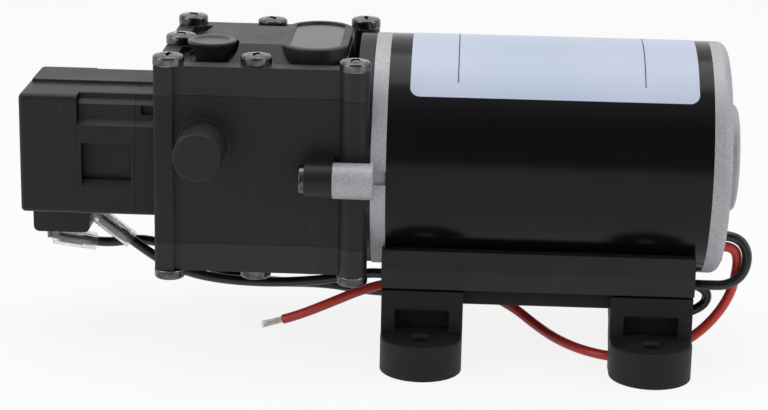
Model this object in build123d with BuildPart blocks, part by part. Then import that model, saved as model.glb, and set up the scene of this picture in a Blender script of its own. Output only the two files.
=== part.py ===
from build123d import *

import os
from math import atan, cos, degrees, pi, radians, sin, sqrt, tan

# Twin-head diaphragm water pump with a brushed motor, a pressure switch and rubber feet.
# Millimetres. +Z is up and the floor is Z = 0. The origin lies midway between the four foot
# screw holes, and +X runs along the motor axis towards the motor's rear.
# A value named _rise or _drop is a height above or below the motor axis.

os.makedirs("parts", exist_ok=True)

# Clearances
FIT = 0.05  # radial play of a shaft, pin or ring in its bore
SLIDE = 0.1  # play beside a piece that slides or lies in a pocket
SKIN = 0.02  # gap under a bonded or clamped skin
SCREW_PLAY = 0.15  # radial play of a screw in a through hole
TURN_GAP = 0.6  # radial gap between turning and still pieces of the motor

# Motor
AXIS_HEIGHT = 52.5
CAN_DIAMETER = 63.0
CAN_WALL = 1.6
CAN_LENGTH = 85.0
CAN_CENTRE_X = 1.75
FRONT_PLATE = 4.0
REAR_PLATE = 5.0
REAR_ROUNDING = 2.6
REAR_BOSS_RADIUS = 14.5
REAR_BOSS_LENGTH = 3.75
SPIGOT_LENGTH = 3.0
SPIGOT_WALL = 3.0
PILOT_RADIUS = 13.9
PILOT_LENGTH = 6.0
PILOT_WALL = 1.25
EAR_Y = 35.0
EAR_RADIUS = 4.7
EAR_LENGTH = 9.5
EAR_ROOT = 0.9  # how far the ears reach into the front plate's rim
EAR_NOTCH_HEIGHT = 3.8
EAR_NOTCH_DEPTH = 1.0
TIE_SCREW_RISE = 24.4
TIE_SCREW_GRIP = 5.0
TIE_SCREW = (3.5, 2.5, 2.0)  # head radius, head height, shank radius
TIE_SCREW_SUNK = 2.9  # from the rear casting's face down to the head's seat
SHAFT_RADIUS = 4.0
NOSE_RADIUS = 2.5
NOSE_LENGTH = 17.0
CORE_TO_CAN_FRONT = 16.5
CORE_TO_CAN_REAR = 28.5
CORE_LENGTH = CAN_LENGTH - CORE_TO_CAN_FRONT - CORE_TO_CAN_REAR
CORE_SLOTS = 10
CORE_SLOT_WIDTH = 4.6
CORE_SLOT_DEPTH = 8.0
CORE_TOOTH_TIP = 1.8
CORE_SLOT_MOUTH = 1.6
MAGNET_THICKNESS = 7.5
MAGNET_GAP = 18.0
MAGNET_OVERHANG = 2.0
WINDING_OVERHANG = 7.5
COMMUTATOR_RADIUS = 9.5
COMMUTATOR_LENGTH = 11.0
COMMUTATOR_BARS = 10
BUSH_RADIUS = 7.0
BUSH_LENGTH = 8.0
BUSH_END_WALL = 1.5
BRUSH_SIZE = 5.8
BRUSH_LENGTH = 9.0
BRUSH_BOX_WALL = 1.5
BRUSH_PLATE = 2.5
GROMMET_Y = -10.0
GROMMET_DROP = 20.65
GROMMET_WIDTH = 6.6
GROMMET_HEIGHT = 9.6
GROMMET_LIP = 0.9
GROMMET_PROUD = 0.6

# Rating label, bare
LABEL_LENGTH = 75.4
LABEL_CENTRE_X = 2.65
LABEL_FROM_ANGLE = 40.35  # degrees up from the front of the can
LABEL_TO_ANGLE = 128.0
LABEL_THICKNESS = 0.12
LABEL_CORNER = 2.6

# Rolling bearings: bore radius, outer radius, width, ball radius, balls
FRONT_BEARING = (4.0, 11.0, 7.0, 1.95, 7)
CRANK_BEARING = (5.0, 9.5, 5.0, 1.3, 11)
RACE_WALL_SHARE = 0.28

# Pump head
FLANGE_RADIUS = 31.2
FLANGE_THICKNESS = 4.25
HEAD_LENGTH = 52.65
HEAD_WIDTH = 56.8
BODY_HEIGHT = 40.0
COVER_THICKNESS = 7.8
POST_WIDTH = 5.0
POST_PROUD = 1.2
ROUND_POST_RADIUS = 3.9
COVER_SCREW_LEFT_INSET = 3.6
COVER_SCREW_RIGHT_INSET = 0.3
LEFT_SCREW_SIDE_INSET = 2.1
MIDDLE_SCREW_SIDE_INSET = 4.8
RIGHT_SCREW_SIDE_INSET = 0.8
SCREW_TURN_STEP = 37.0  # each cover screw stops at an angle of its own
COVER_SCREW_LENGTH = 18.0
LUG_LENGTH = 7.3
FLANGE_SCREW_LENGTH = 16.0
BODY_EDGE_BREAK = 0.35

# Crank and diaphragms
CRANK_THROW = 1.2
HUB_COLLAR_RADIUS = 7.0
HUB_COLLAR_LENGTH = 5.5
YOKE_WALL = 3.0
YOKE_WIDTH = 7.0
PISTON_RISE = 14.0  # from the crank pin's centre to the piston face
PISTON_RADIUS = 9.0
PISTON_THICKNESS = 2.0
CRANK_ROOM_RADIUS = 16.0
SHAFT_ROOM_RADIUS = 12.5
DIAPHRAGM_RADIUS = 18.6
DIAPHRAGM_THICKNESS = 2.0
PISTON_PLATE_RADIUS = 7.5
PISTON_PLATE_THICKNESS = 1.2
PISTON_SCREW_HEAD = 0.8
PISTON_SCREW_LENGTH = 7.0

# Valves and water ways
VALVE_PLATE_THICKNESS = 3.4
VALVE_Y = 9.0
VALVE_CAP_RADIUS = 6.0
VALVE_CAP_HEIGHT = 1.3
VALVE_STEM_RADIUS = 1.5
VALVE_PORTS = 6
VALVE_PORT_RADIUS = 0.9
VALVE_PORT_CIRCLE = 3.6
GALLERY_RADIUS = 15.5
GALLERY_DEPTH = 1.4
GALLERY_RIB = 2.4
WATER_WAY_RADIUS = 3.0
WATER_WAY_Y = 22.0
PORT_BORE_RADIUS = 2.8
SEAL_RING_RADIUS = 4.3
SEAL_CORD_RADIUS = 0.9

# Hose ports and their travel caps
PORT_X_INSET = 12.9
PORT_RISE = 7.1
PORT_BASE_RADIUS = 6.85
PORT_BASE_HEIGHT = 1.2
TAIL_RADIUS = 5.0
TAIL_LENGTH = 11.9
TAIL_BARBS = 3
TAIL_BARB_DEPTH = 0.5
PORT_CAP_RADIUS = 6.3
PORT_CAP_END = 1.5
PORT_CAP_ROUNDING = 0.6

# Top forms of a cover
SEAT_STEP = 0.6
SIDE_RIM_WIDTH = 5.2
END_RIM_WIDTH = 4.4
RIGHT_RIM_WIDTH = 1.6
MOAT_DEPTH = 1.8
MOAT_CORNER = 2.0
COVER_SET_BACK = 2.9
PANEL_LENGTH = 20.3
PANEL_WIDTH = 23.4
PANEL_HEIGHT = 2.8
PANEL_SKIRT = 5.4  # how far the island's sloped sides spread at their foot
BOSS_LENGTH = 17.7
BOSS_WIDTH = 38.5
BOSS_HEIGHT = 3.2
BOSS_RIM = 2.1
BOSS_INSET_END_RADIUS = 8.0
BOSS_INSET_DEPTH = 0.5
BOSS_RIGHT_INSET = 3.05
PLUG_X_INSET = 13.3
PLUG_Y = -11.0
PLUG_RADIUS = 6.45
PLUG_NECK = 3.3
PLUG_FOOT_RADIUS = 4.2
PLUG_HEIGHT = 3.6
PLUG_RIM = 0.8
PLUG_DISH = 0.5
PLUG_POCKET = 7.3

# Pressure switch
SWITCH_WIDTH = 34.6
SWITCH_HEIGHT = 32.8
SWITCH_FLANGE_LENGTH = 6.9
SWITCH_HOUSING_LENGTH = 15.4
SWITCH_CAP_LENGTH = 15.7
SWITCH_WALL = 1.6
SWITCH_CORNER = 1.5
SHOULDER_RISE = 8.2
SHOULDER_STEP = 2.1
SHOULDER_SLOPE = 1.5
UPPER_SHOULDER_RISE = 13.7
UPPER_SHOULDER_STEP = 2.0
UPPER_SHOULDER_SLOPE = 1.2
WINDOW_TOP = 3.5
WINDOW_BOTTOM = -7.0
WINDOW_DEPTH = 3.4
WINDOW_END_WALL = 1.0
WINDOW_SILL = 1.6
FLANGE_POCKET_BOTTOM = 11.1
FLANGE_POCKET_TOP = 13.5
FLANGE_POCKET_DEPTH = 1.4
TOP_RIB_FROM_Y = -2.6
TOP_RIB_TO_Y = 11.6
TOP_RIB_HEIGHT = 0.8
TOP_RIB_ROOT = 0.5
SWITCH_SCREW_Y = 11.6
SWITCH_SCREW_RISE = 12.5
SWITCH_SCREW_GRIP = 8.0
SWITCH_POST_RADIUS = 3.6
SWITCH_DIAPHRAGM_RADIUS = 12.0
SWITCH_DIAPHRAGM_THICKNESS = 1.0
SWITCH_CHAMBER_RADIUS = 9.0
SWITCH_CHAMBER_DEPTH = 2.0
SWITCH_PASSAGE_RADIUS = 1.5
SWITCH_PASSAGE_Y = 7.0
SWITCH_PISTON_RADIUS = 9.0
SWITCH_PISTON_THICKNESS = 4.0
SWITCH_STEM_RADIUS = 3.6
SWITCH_STEM_LENGTH = 6.0
SWITCH_TRAVEL = 1.2
SPRING_RADIUS = 5.4
SPRING_WALL = 1.1
SPRING_ROOM_RADIUS = 6.6
SPRING_SEAT_THICKNESS = 1.5
ADJUSTER_RADIUS = 4.0
ADJUSTER_LENGTH = 6.6
ADJUSTER_BOSS_RADIUS = 6.0
ADJUSTER_SOCKET = 4.0
ADJUSTER_SUNK = 1.0
FOOT_ARM_WIDTH = 6.0
FOOT_ARM_TOP = -6.0
FOOT_ARM_BOTTOM = -12.2

# Micro switch and its spade terminals
MICRO_LENGTH = 15.55
MICRO_WIDTH = 10.3
MICRO_TOP = -6.5
MICRO_BOTTOM = -25.4
MICRO_RIGHT_INSET = 0.75  # into the switch housing, past the cap's parting face
MICRO_CORNER = 1.6
NEAR_TAB_X = 1.45  # from the block's right face
NEAR_TAB_RISE = -21.5
FAR_TAB_X = -10.95
FAR_TAB_RISE = -28.1
FAR_TAB_Y = 0.8
TAB_ROOT_LENGTH = 3.0
TAB_BACK = 1.2  # from the sleeve's mouth back to the tab's root
MICRO_BUTTON_RISE = -10.0
MICRO_BUTTON_RADIUS = 1.2
MICRO_BUTTON_PROUD = 1.5
MICRO_BUTTON_DEPTH = 4.0
SLEEVE_WIDTH = 6.4
SLEEVE_HEIGHT = 4.2
SLEEVE_WALL = 0.5
SLEEVE_LENGTH = 11.9
SPADE_WIDTH = 4.8
SPADE_HEIGHT = 2.4
SPADE_LENGTH = 6.6
CRIMP_RADIUS = 1.55
TAB_THICKNESS = 0.8
TAB_WIDTH = 4.0

# Base bracket
BRACKET_LENGTH = 83.0
BRACKET_HALF_WIDTH = 28.0
BRACKET_TOP = 31.5
BRACKET_FACET = 26.4
BRACKET_SKIRT = 21.3
BRACKET_TOP_INSET = 1.1
BRACKET_WEB = 1.6
TUNNEL_HALF_WIDTH = 17.0
RAIL_Y = 21.5
RAIL_BOTTOM = 16.6
RAIL_BOTTOM_HALF = 3.5
RAIL_TOP_HALF = 1.8
BRACKET_SCREW_X = 22.0
BRACKET_SCREW_LENGTH = 5.0
CRADLE_X = 36.0
CRADLE_WIDTH = 4.0
CRADLE_HALF_SPAN = 15.0
CRADLE_BAR = 1.6
CRADLE_LEG = 2.0
LEFT_CRADLE_TOP = 10.3
RIGHT_CRADLE_TOP = 15.1

# Rubber feet
FOOT_X = 30.5
FOOT_WIDTH = 21.8
FOOT_TOP = 20.4
FOOT_JAW_OUTER = 27.0
FOOT_JAW_INNER = 15.6
FOOT_PAD_HEIGHT = 9.5
FOOT_PAD_INNER = 24.6
FOOT_PAD_OUTER = 41.3
FOOT_HOLE_Y = 33.0
FOOT_HOLE_RADIUS = 2.4
FOOT_HOLE_SINK = 0.8
FOOT_WINDOW_WIDTH = 14.6
FOOT_WINDOW_BOTTOM = 9.5
FOOT_WINDOW_TOP = 15.2
FOOT_WINDOW_DEPTH = 4.0
FOOT_ROUNDING = 0.7

# Screws: head radius, head height, shank radius
M4_SCREW = (4.1, 2.9, 2.0)
M4_FLANGE_SCREW = (4.0, 1.9, 2.0)
M3_SCREW = (2.8, 2.0, 1.5)
RECESS_WIDTH = 1.0
RECESS_SPAN_SHARE = 1.2
RECESS_CORE_SHARE = 0.3
RECESS_DEPTH_SHARE = 0.5
CROWN_SHARE = 0.42

# Leads
LEAD_DIAMETER = 2.7
LEAD_CORE_RADIUS = 0.9
TINNED_LENGTH = 7.0
CUT_CORE_LENGTH = 0.4
ARC_SHARE = 0.45
MM3_TOLERANCE = 0.02

# Places along X, worked out from the can
CAN_RADIUS = CAN_DIAMETER / 2
CAN_BORE = CAN_RADIUS - CAN_WALL
CAN_FRONT = CAN_CENTRE_X - CAN_LENGTH / 2
CAN_REAR = CAN_CENTRE_X + CAN_LENGTH / 2
CASTING_FRONT = CAN_FRONT - FRONT_PLATE
CASTING_REAR = CAN_REAR + REAR_PLATE
BOSS_REAR = CASTING_REAR + REAR_BOSS_LENGTH
HEAD_RIGHT = CASTING_FRONT - FLANGE_THICKNESS
HEAD_LEFT = HEAD_RIGHT - HEAD_LENGTH
CRANK_X = HEAD_LEFT + HEAD_LENGTH / 2
EAR_FRONT = CASTING_FRONT - EAR_LENGTH
LUG_FRONT = EAR_FRONT - LUG_LENGTH
SWITCH_HOUSING_RIGHT = HEAD_LEFT - SWITCH_FLANGE_LENGTH
SWITCH_CAP_RIGHT = SWITCH_HOUSING_RIGHT - SWITCH_HOUSING_LENGTH
SWITCH_LEFT = SWITCH_CAP_RIGHT - SWITCH_CAP_LENGTH
PORT_X = HEAD_LEFT + PORT_X_INSET
PLUG_X = HEAD_LEFT + PLUG_X_INSET

# Heights from the motor axis
BODY_TOP = BODY_HEIGHT / 2
COVER_TOP = BODY_TOP + COVER_THICKNESS


motor_axis = Axis((0, 0, AXIS_HEIGHT), (1, 0, 0))


def across(x):
    """Plane square to the motor axis at x: its own x is +Y and its own y is +Z."""
    return Plane(origin=(x, 0, AXIS_HEIGHT), x_dir=(0, 1, 0), z_dir=(1, 0, 0))


def level(rise):
    """Horizontal plane at a height above the motor axis."""
    return Plane.XY.offset(AXIS_HEIGHT + rise)


def save(part, name):
    """Labels a finished piece and writes its file."""
    part.label = name
    export_step(part, f"parts/{name}.step")


def pan_screw(head_radius, head_height, shank_radius, length):
    """Cross-recess pan screw, head up, with its seat at Z = 0."""
    crown = head_height * CROWN_SHARE
    shoulder = (head_radius * 0.86, head_height - crown * 0.34)
    recess_depth = head_height * RECESS_DEPTH_SHARE
    with BuildPart() as screw:
        with BuildSketch(Plane.XZ) as half_section:
            with BuildLine():
                Polyline((0, head_height), (0, -length), (shank_radius - 0.4, -length),
                         (shank_radius, -length + 0.5), (shank_radius, 0), (head_radius, 0),
                         (head_radius, head_height - crown))
                ThreePointArc((head_radius, head_height - crown),
                              (head_radius * 0.962, head_height - crown * 0.58), shoulder)
                ThreePointArc(shoulder, (head_radius * 0.45, head_height - crown * 0.1), (0, head_height))
            make_face()
        revolve(axis=Axis.Z)
        with BuildSketch(Plane.XY.offset(head_height - recess_depth)):
            Rectangle(head_radius * RECESS_SPAN_SHARE, RECESS_WIDTH)
            Rectangle(RECESS_WIDTH, head_radius * RECESS_SPAN_SHARE)
            Circle(head_radius * RECESS_CORE_SHARE)
        extrude(amount=head_height, mode=Mode.SUBTRACT)
    return screw.part


def race(inner_radius, outer_radius, width, pitch_radius, ball_radius):
    """Bearing ring round the X axis, centred at the origin, with its ball groove."""
    with BuildPart() as ring:
        with BuildSketch(Plane.XZ):
            with Locations((0, (inner_radius + outer_radius) / 2)):
                Rectangle(width, outer_radius - inner_radius)
            with Locations((0, pitch_radius)):
                Circle(ball_radius + FIT, mode=Mode.SUBTRACT)
        revolve(axis=Axis.X)
    return ring.part


def bearing(bearing_size):
    """Outer ring, inner ring and balls of a bearing round the X axis, centred at the origin."""
    bore_radius, outer_radius, width, ball_radius, balls = bearing_size
    pitch_radius = (bore_radius + outer_radius) / 2
    wall = RACE_WALL_SHARE * (outer_radius - bore_radius)
    inner_race = race(bore_radius, bore_radius + wall, width, pitch_radius, ball_radius)
    outer_race = race(outer_radius - wall, outer_radius, width, pitch_radius, ball_radius)
    with BuildPart() as ball_set:
        with PolarLocations(pitch_radius, balls):
            Sphere(ball_radius)
    return outer_race, inner_race, ball_set.part.rotate(Axis.Y, 90)


def placed(piece, x=0.0, y=0.0, rise=0.0):
    """A piece made round the origin, moved onto the motor axis."""
    return Pos(x, y, AXIS_HEIGHT + rise) * piece


# Motor can, label and castings
with BuildPart() as motor_can:
    with BuildSketch(across(CAN_FRONT)):
        Circle(CAN_RADIUS)
        Circle(CAN_BORE, mode=Mode.SUBTRACT)
    extrude(amount=CAN_LENGTH)
    with BuildSketch(Plane.XY):
        with Locations((-BRACKET_SCREW_X, 0), (BRACKET_SCREW_X, 0)):
            Circle(M4_SCREW[2] + FIT)
    extrude(amount=AXIS_HEIGHT, mode=Mode.SUBTRACT)
save(motor_can.part, "motor_can")

label_radius = CAN_RADIUS + SKIN
label_arc = LABEL_TO_ANGLE - LABEL_FROM_ANGLE
with BuildPart() as rating_label:
    with BuildSketch(Plane.XZ):
        with Locations((LABEL_CENTRE_X, AXIS_HEIGHT + label_radius + LABEL_THICKNESS / 2)):
            Rectangle(LABEL_LENGTH, LABEL_THICKNESS)
    revolve(axis=motor_axis, revolution_arc=label_arc)
    label_corners = rating_label.edges().filter_by(lambda edge: edge.length < 2 * LABEL_THICKNESS)
    fillet(label_corners, LABEL_CORNER)
save(rating_label.part.rotate(motor_axis, 90 - LABEL_TO_ANGLE), "rating_label")

spigot_radius = CAN_BORE - FIT
bearing_front = CASTING_FRONT - PILOT_LENGTH + PILOT_WALL
with BuildPart() as front_casting:
    with BuildSketch(across(CASTING_FRONT)):
        Circle(CAN_RADIUS)
    extrude(amount=FRONT_PLATE)
    for side in (-1, 1):
        with Locations((CASTING_FRONT + FRONT_PLATE / 2, side * CAN_RADIUS, AXIS_HEIGHT)):
            Box(FRONT_PLATE, 2 * EAR_NOTCH_DEPTH, EAR_NOTCH_HEIGHT, mode=Mode.SUBTRACT)
    with BuildSketch(across(CASTING_FRONT)):
        SlotCenterToCenter(2 * EAR_Y, 2 * EAR_RADIUS)
    extrude(amount=EAR_ROOT)
    with BuildSketch(across(EAR_FRONT)):
        with Locations((-EAR_Y, 0), (EAR_Y, 0)):
            Circle(EAR_RADIUS)
    extrude(amount=EAR_LENGTH)
    with BuildSketch(across(CASTING_FRONT - PILOT_LENGTH)):
        Circle(PILOT_RADIUS)
    extrude(amount=PILOT_LENGTH)
    with BuildSketch(across(CAN_FRONT)):
        Circle(spigot_radius)
    extrude(amount=SPIGOT_LENGTH)
    with BuildSketch(across(CAN_FRONT)):
        Circle(spigot_radius - SPIGOT_WALL)
        Circle(PILOT_RADIUS, mode=Mode.SUBTRACT)
        with Locations((0, TIE_SCREW_RISE), (0, -TIE_SCREW_RISE)):
            Circle(EAR_RADIUS, mode=Mode.SUBTRACT)
    extrude(amount=SPIGOT_LENGTH, mode=Mode.SUBTRACT)
    with BuildSketch(across(bearing_front)):
        Circle(FRONT_BEARING[1] + FIT)
    extrude(amount=CAN_FRONT + SPIGOT_LENGTH - bearing_front, mode=Mode.SUBTRACT)
    with BuildSketch(across(CASTING_FRONT - PILOT_LENGTH)):
        Circle(SHAFT_RADIUS + TURN_GAP)
    extrude(amount=PILOT_LENGTH, mode=Mode.SUBTRACT)
    with BuildSketch(across(EAR_FRONT)):
        with Locations((-EAR_Y, 0), (EAR_Y, 0)):
            Circle(M4_FLANGE_SCREW[2] + FIT)
    extrude(amount=EAR_LENGTH + FRONT_PLATE, mode=Mode.SUBTRACT)
    with BuildSketch(across(CAN_FRONT + SPIGOT_LENGTH - TIE_SCREW_GRIP)):
        with Locations((0, TIE_SCREW_RISE), (0, -TIE_SCREW_RISE)):
            Circle(TIE_SCREW[2] + FIT)
    extrude(amount=TIE_SCREW_GRIP, mode=Mode.SUBTRACT)
save(front_casting.part, "front_casting")

bush_rear = BOSS_REAR - BUSH_END_WALL
grommet_places = Locations((GROMMET_Y, -GROMMET_DROP))
tie_screw_seat = CASTING_REAR - TIE_SCREW_SUNK
with BuildPart() as rear_casting:
    with BuildSketch(across(CAN_REAR)):
        Circle(CAN_RADIUS)
    extrude(amount=REAR_PLATE)
    fillet(rear_casting.edges().group_by(Axis.X)[-1], REAR_ROUNDING)
    with BuildSketch(across(CASTING_REAR)):
        Circle(REAR_BOSS_RADIUS)
    extrude(amount=REAR_BOSS_LENGTH)
    fillet(rear_casting.edges().group_by(Axis.X)[-1], 0.3 * REAR_BOSS_LENGTH)
    with BuildSketch(across(CAN_REAR - SPIGOT_LENGTH)):
        Circle(spigot_radius)
        Circle(spigot_radius - SPIGOT_WALL, mode=Mode.SUBTRACT)
    extrude(amount=SPIGOT_LENGTH)
    with BuildSketch(across(bush_rear - BUSH_LENGTH - SLIDE)):
        Circle(BUSH_RADIUS + FIT)
    extrude(amount=BUSH_LENGTH + SLIDE, mode=Mode.SUBTRACT)
    with BuildSketch(across(CAN_REAR)):
        with Locations((0, TIE_SCREW_RISE), (0, -TIE_SCREW_RISE)):
            Circle(TIE_SCREW[2] + SCREW_PLAY)
        with Locations((GROMMET_Y, -GROMMET_DROP)):
            SlotOverall(GROMMET_HEIGHT + 2 * FIT, GROMMET_WIDTH + 2 * FIT, rotation=90)
    extrude(amount=REAR_PLATE, mode=Mode.SUBTRACT)
    with BuildSketch(across(tie_screw_seat)):
        with Locations((0, TIE_SCREW_RISE), (0, -TIE_SCREW_RISE)):
            Circle(TIE_SCREW[0] + SCREW_PLAY)
    extrude(amount=TIE_SCREW_SUNK, mode=Mode.SUBTRACT)
save(rear_casting.part, "rear_casting")

with BuildPart() as lead_grommet:
    with BuildSketch(across(CAN_REAR)):
        with Locations((GROMMET_Y, -GROMMET_DROP)):
            SlotOverall(GROMMET_HEIGHT, GROMMET_WIDTH, rotation=90)
    extrude(amount=REAR_PLATE + GROMMET_PROUD)
    with BuildSketch(across(CASTING_REAR)):
        with Locations((GROMMET_Y, -GROMMET_DROP)):
            SlotOverall(GROMMET_HEIGHT + 2 * GROMMET_LIP, GROMMET_WIDTH + 2 * GROMMET_LIP, rotation=90)
    extrude(amount=GROMMET_PROUD)
save(lead_grommet.part, "lead_grommet")

# Rotor, magnets and brush gear
front_outer, front_inner, front_balls = bearing(FRONT_BEARING)
front_bearing_x = bearing_front + FRONT_BEARING[2] / 2
save(placed(front_outer, front_bearing_x), "front_bearing_outer_ring")
save(placed(front_inner, front_bearing_x), "front_bearing_inner_ring")
save(placed(front_balls, front_bearing_x), "front_bearing_balls")

nose_end = CRANK_X - CRANK_BEARING[2] / 2 - 1.0
nose_root = nose_end + NOSE_LENGTH
shaft_end = bush_rear - 2 * SLIDE
with BuildPart() as motor_shaft:
    with BuildSketch(across(nose_root)):
        Circle(SHAFT_RADIUS - FIT)
    extrude(amount=shaft_end - nose_root)
    with BuildSketch(across(nose_end)):
        Circle(NOSE_RADIUS)
    extrude(amount=NOSE_LENGTH)
    chamfer(motor_shaft.edges().group_by(Axis.X)[0], 0.4)
    chamfer(motor_shaft.edges().group_by(Axis.X)[-1], 0.4)
save(motor_shaft.part, "motor_shaft")

magnet_bore = CAN_BORE - MAGNET_THICKNESS
core_radius = magnet_bore - TURN_GAP
core_front = CAN_REAR - CORE_TO_CAN_REAR - CORE_LENGTH
slot_centre = core_radius - CORE_TOOTH_TIP - CORE_SLOT_DEPTH / 2
with BuildPart() as magnets:
    with BuildSketch(across(core_front - MAGNET_OVERHANG)):
        Circle(CAN_BORE - SKIN)
        Circle(magnet_bore, mode=Mode.SUBTRACT)
        Rectangle(MAGNET_GAP, CAN_DIAMETER, mode=Mode.SUBTRACT)
    extrude(amount=CORE_LENGTH + 2 * MAGNET_OVERHANG)
save(magnets.part, "magnets")

with BuildPart() as rotor_core:
    with BuildSketch(across(core_front)):
        Circle(core_radius)
        Circle(SHAFT_RADIUS, mode=Mode.SUBTRACT)
        with PolarLocations(slot_centre, CORE_SLOTS):
            Rectangle(CORE_SLOT_DEPTH, CORE_SLOT_WIDTH, mode=Mode.SUBTRACT)
        with PolarLocations(core_radius, CORE_SLOTS):
            Rectangle(3 * CORE_TOOTH_TIP, CORE_SLOT_MOUTH, mode=Mode.SUBTRACT)
    extrude(amount=CORE_LENGTH)
save(rotor_core.part, "rotor_core")

coil_depth = CORE_SLOT_DEPTH - 2 * SLIDE
with BuildPart() as windings:
    with BuildSketch(across(core_front - WINDING_OVERHANG)):
        with PolarLocations(slot_centre, CORE_SLOTS):
            Rectangle(coil_depth, CORE_SLOT_WIDTH - 2 * SLIDE)
    extrude(amount=CORE_LENGTH + 2 * WINDING_OVERHANG)
    for ring_start in (core_front - WINDING_OVERHANG, core_front + CORE_LENGTH + SLIDE):
        with BuildSketch(across(ring_start)):
            Circle(slot_centre + coil_depth / 2)
            Circle(slot_centre - coil_depth / 2, mode=Mode.SUBTRACT)
        extrude(amount=WINDING_OVERHANG - SLIDE)
save(windings.part, "windings")

commutator_front = core_front + CORE_LENGTH + WINDING_OVERHANG + 1.5
with BuildPart() as commutator:
    with BuildSketch(across(commutator_front)):
        Circle(COMMUTATOR_RADIUS)
        Circle(SHAFT_RADIUS, mode=Mode.SUBTRACT)
        with PolarLocations(COMMUTATOR_RADIUS, COMMUTATOR_BARS):
            Rectangle(1.6, 0.5, mode=Mode.SUBTRACT)
    extrude(amount=COMMUTATOR_LENGTH)
save(commutator.part, "commutator")

with BuildPart() as rear_bush:
    with BuildSketch(across(bush_rear - BUSH_LENGTH)):
        Circle(BUSH_RADIUS)
        Circle(SHAFT_RADIUS, mode=Mode.SUBTRACT)
    extrude(amount=BUSH_LENGTH)
save(rear_bush.part, "rear_bush")

brush_x = commutator_front + COMMUTATOR_LENGTH / 2
box_half = BRUSH_SIZE / 2 + SLIDE + BRUSH_BOX_WALL
box_inner = COMMUTATOR_RADIUS + 1.5
box_outer = CAN_BORE - 3.0
plate_x = brush_x + box_half
with BuildPart() as brush_holder:
    with BuildSketch(across(plate_x)):
        Circle(CAN_BORE - SLIDE)
        Circle(box_inner, mode=Mode.SUBTRACT)
        with Locations((0, TIE_SCREW_RISE), (0, -TIE_SCREW_RISE)):
            Circle(M4_SCREW[2] + SCREW_PLAY, mode=Mode.SUBTRACT)
    extrude(amount=BRUSH_PLATE)
    for side in (-1, 1):
        with Locations((brush_x, side * (box_inner + box_outer) / 2, AXIS_HEIGHT)):
            Box(2 * box_half, box_outer - box_inner, 2 * box_half)
        brush_room = box_outer - box_inner - BRUSH_BOX_WALL
        with Locations((brush_x, side * (box_inner + brush_room / 2), AXIS_HEIGHT)):
            Box(BRUSH_SIZE + 2 * SLIDE, brush_room, BRUSH_SIZE + 2 * SLIDE, mode=Mode.SUBTRACT)
save(brush_holder.part, "brush_holder")

brush_back = COMMUTATOR_RADIUS + BRUSH_LENGTH
with BuildPart() as brushes:
    for side in (-1, 1):
        with Locations((brush_x, side * (brush_back - BRUSH_LENGTH / 2 - 1), AXIS_HEIGHT)):
            Box(BRUSH_SIZE, BRUSH_LENGTH + 2, BRUSH_SIZE)
    with BuildSketch(across(brush_x - BRUSH_SIZE)):
        Circle(COMMUTATOR_RADIUS + SLIDE)
    extrude(amount=2 * BRUSH_SIZE, mode=Mode.SUBTRACT)
save(brushes.part, "brushes")

with BuildPart() as brush_springs:
    for side in (-1, 1):
        with BuildSketch(Plane(origin=(brush_x, side * brush_back, AXIS_HEIGHT), z_dir=(0, side, 0))):
            Circle(BRUSH_SIZE / 2 - 0.3)
            Circle(BRUSH_SIZE / 2 - 0.9, mode=Mode.SUBTRACT)
        extrude(amount=box_inner + brush_room - brush_back)
save(brush_springs.part, "brush_springs")

# Screws of the motor: two long ones hold the castings to the can, two short ones the bracket
tie_screw_length = tie_screw_seat - (CAN_FRONT + SPIGOT_LENGTH - TIE_SCREW_GRIP) - 0.5
tie_screw = pan_screw(*TIE_SCREW, tie_screw_length).rotate(Axis.Y, 90)
bracket_screw = pan_screw(*M4_SCREW, BRACKET_SCREW_LENGTH).rotate(Axis.X, 180)
bracket_screw_seat = AXIS_HEIGHT - CAN_RADIUS - BRACKET_WEB
with BuildPart() as motor_screws:
    with Locations(*[(tie_screw_seat, 0, AXIS_HEIGHT + side * TIE_SCREW_RISE) for side in (-1, 1)]):
        add(tie_screw)
    with Locations(*[(side * BRACKET_SCREW_X, 0, bracket_screw_seat) for side in (-1, 1)]):
        add(bracket_screw)
save(motor_screws.part, "motor_screws")

# Pump head body
cover_screw_xs = (HEAD_LEFT + COVER_SCREW_LEFT_INSET, CRANK_X, HEAD_RIGHT - COVER_SCREW_RIGHT_INSET)
cover_screw_ys = [
    HEAD_WIDTH / 2 - inset for inset in (LEFT_SCREW_SIDE_INSET, MIDDLE_SCREW_SIDE_INSET, RIGHT_SCREW_SIDE_INSET)
]
cover_screw_places = [(x, side * y) for x, y in zip(cover_screw_xs, cover_screw_ys) for side in (-1, 1)]
cover_screw_places.append((cover_screw_xs[0], 0))
round_post_places = [(cover_screw_xs[2], side * cover_screw_ys[2]) for side in (-1, 1)]
water_way_places = [(PORT_X, side * WATER_WAY_Y) for side in (-1, 1)]
switch_screw_places = [
    (y, rise) for y in (-SWITCH_SCREW_Y, SWITCH_SCREW_Y) for rise in (-SWITCH_SCREW_RISE, SWITCH_SCREW_RISE)
]


def head_outline():
    """Plan of the head: a block with flat posts at its left corners and round ones at its right."""
    with BuildSketch(Plane.XY) as outline:
        with Locations((CRANK_X, 0)):
            Rectangle(HEAD_LENGTH, HEAD_WIDTH)
        with Locations((HEAD_LEFT + POST_WIDTH / 2, 0)):
            Rectangle(POST_WIDTH, HEAD_WIDTH + 2 * POST_PROUD)
        with Locations(*round_post_places):
            Circle(ROUND_POST_RADIUS)
    return outline.sketch


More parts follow.
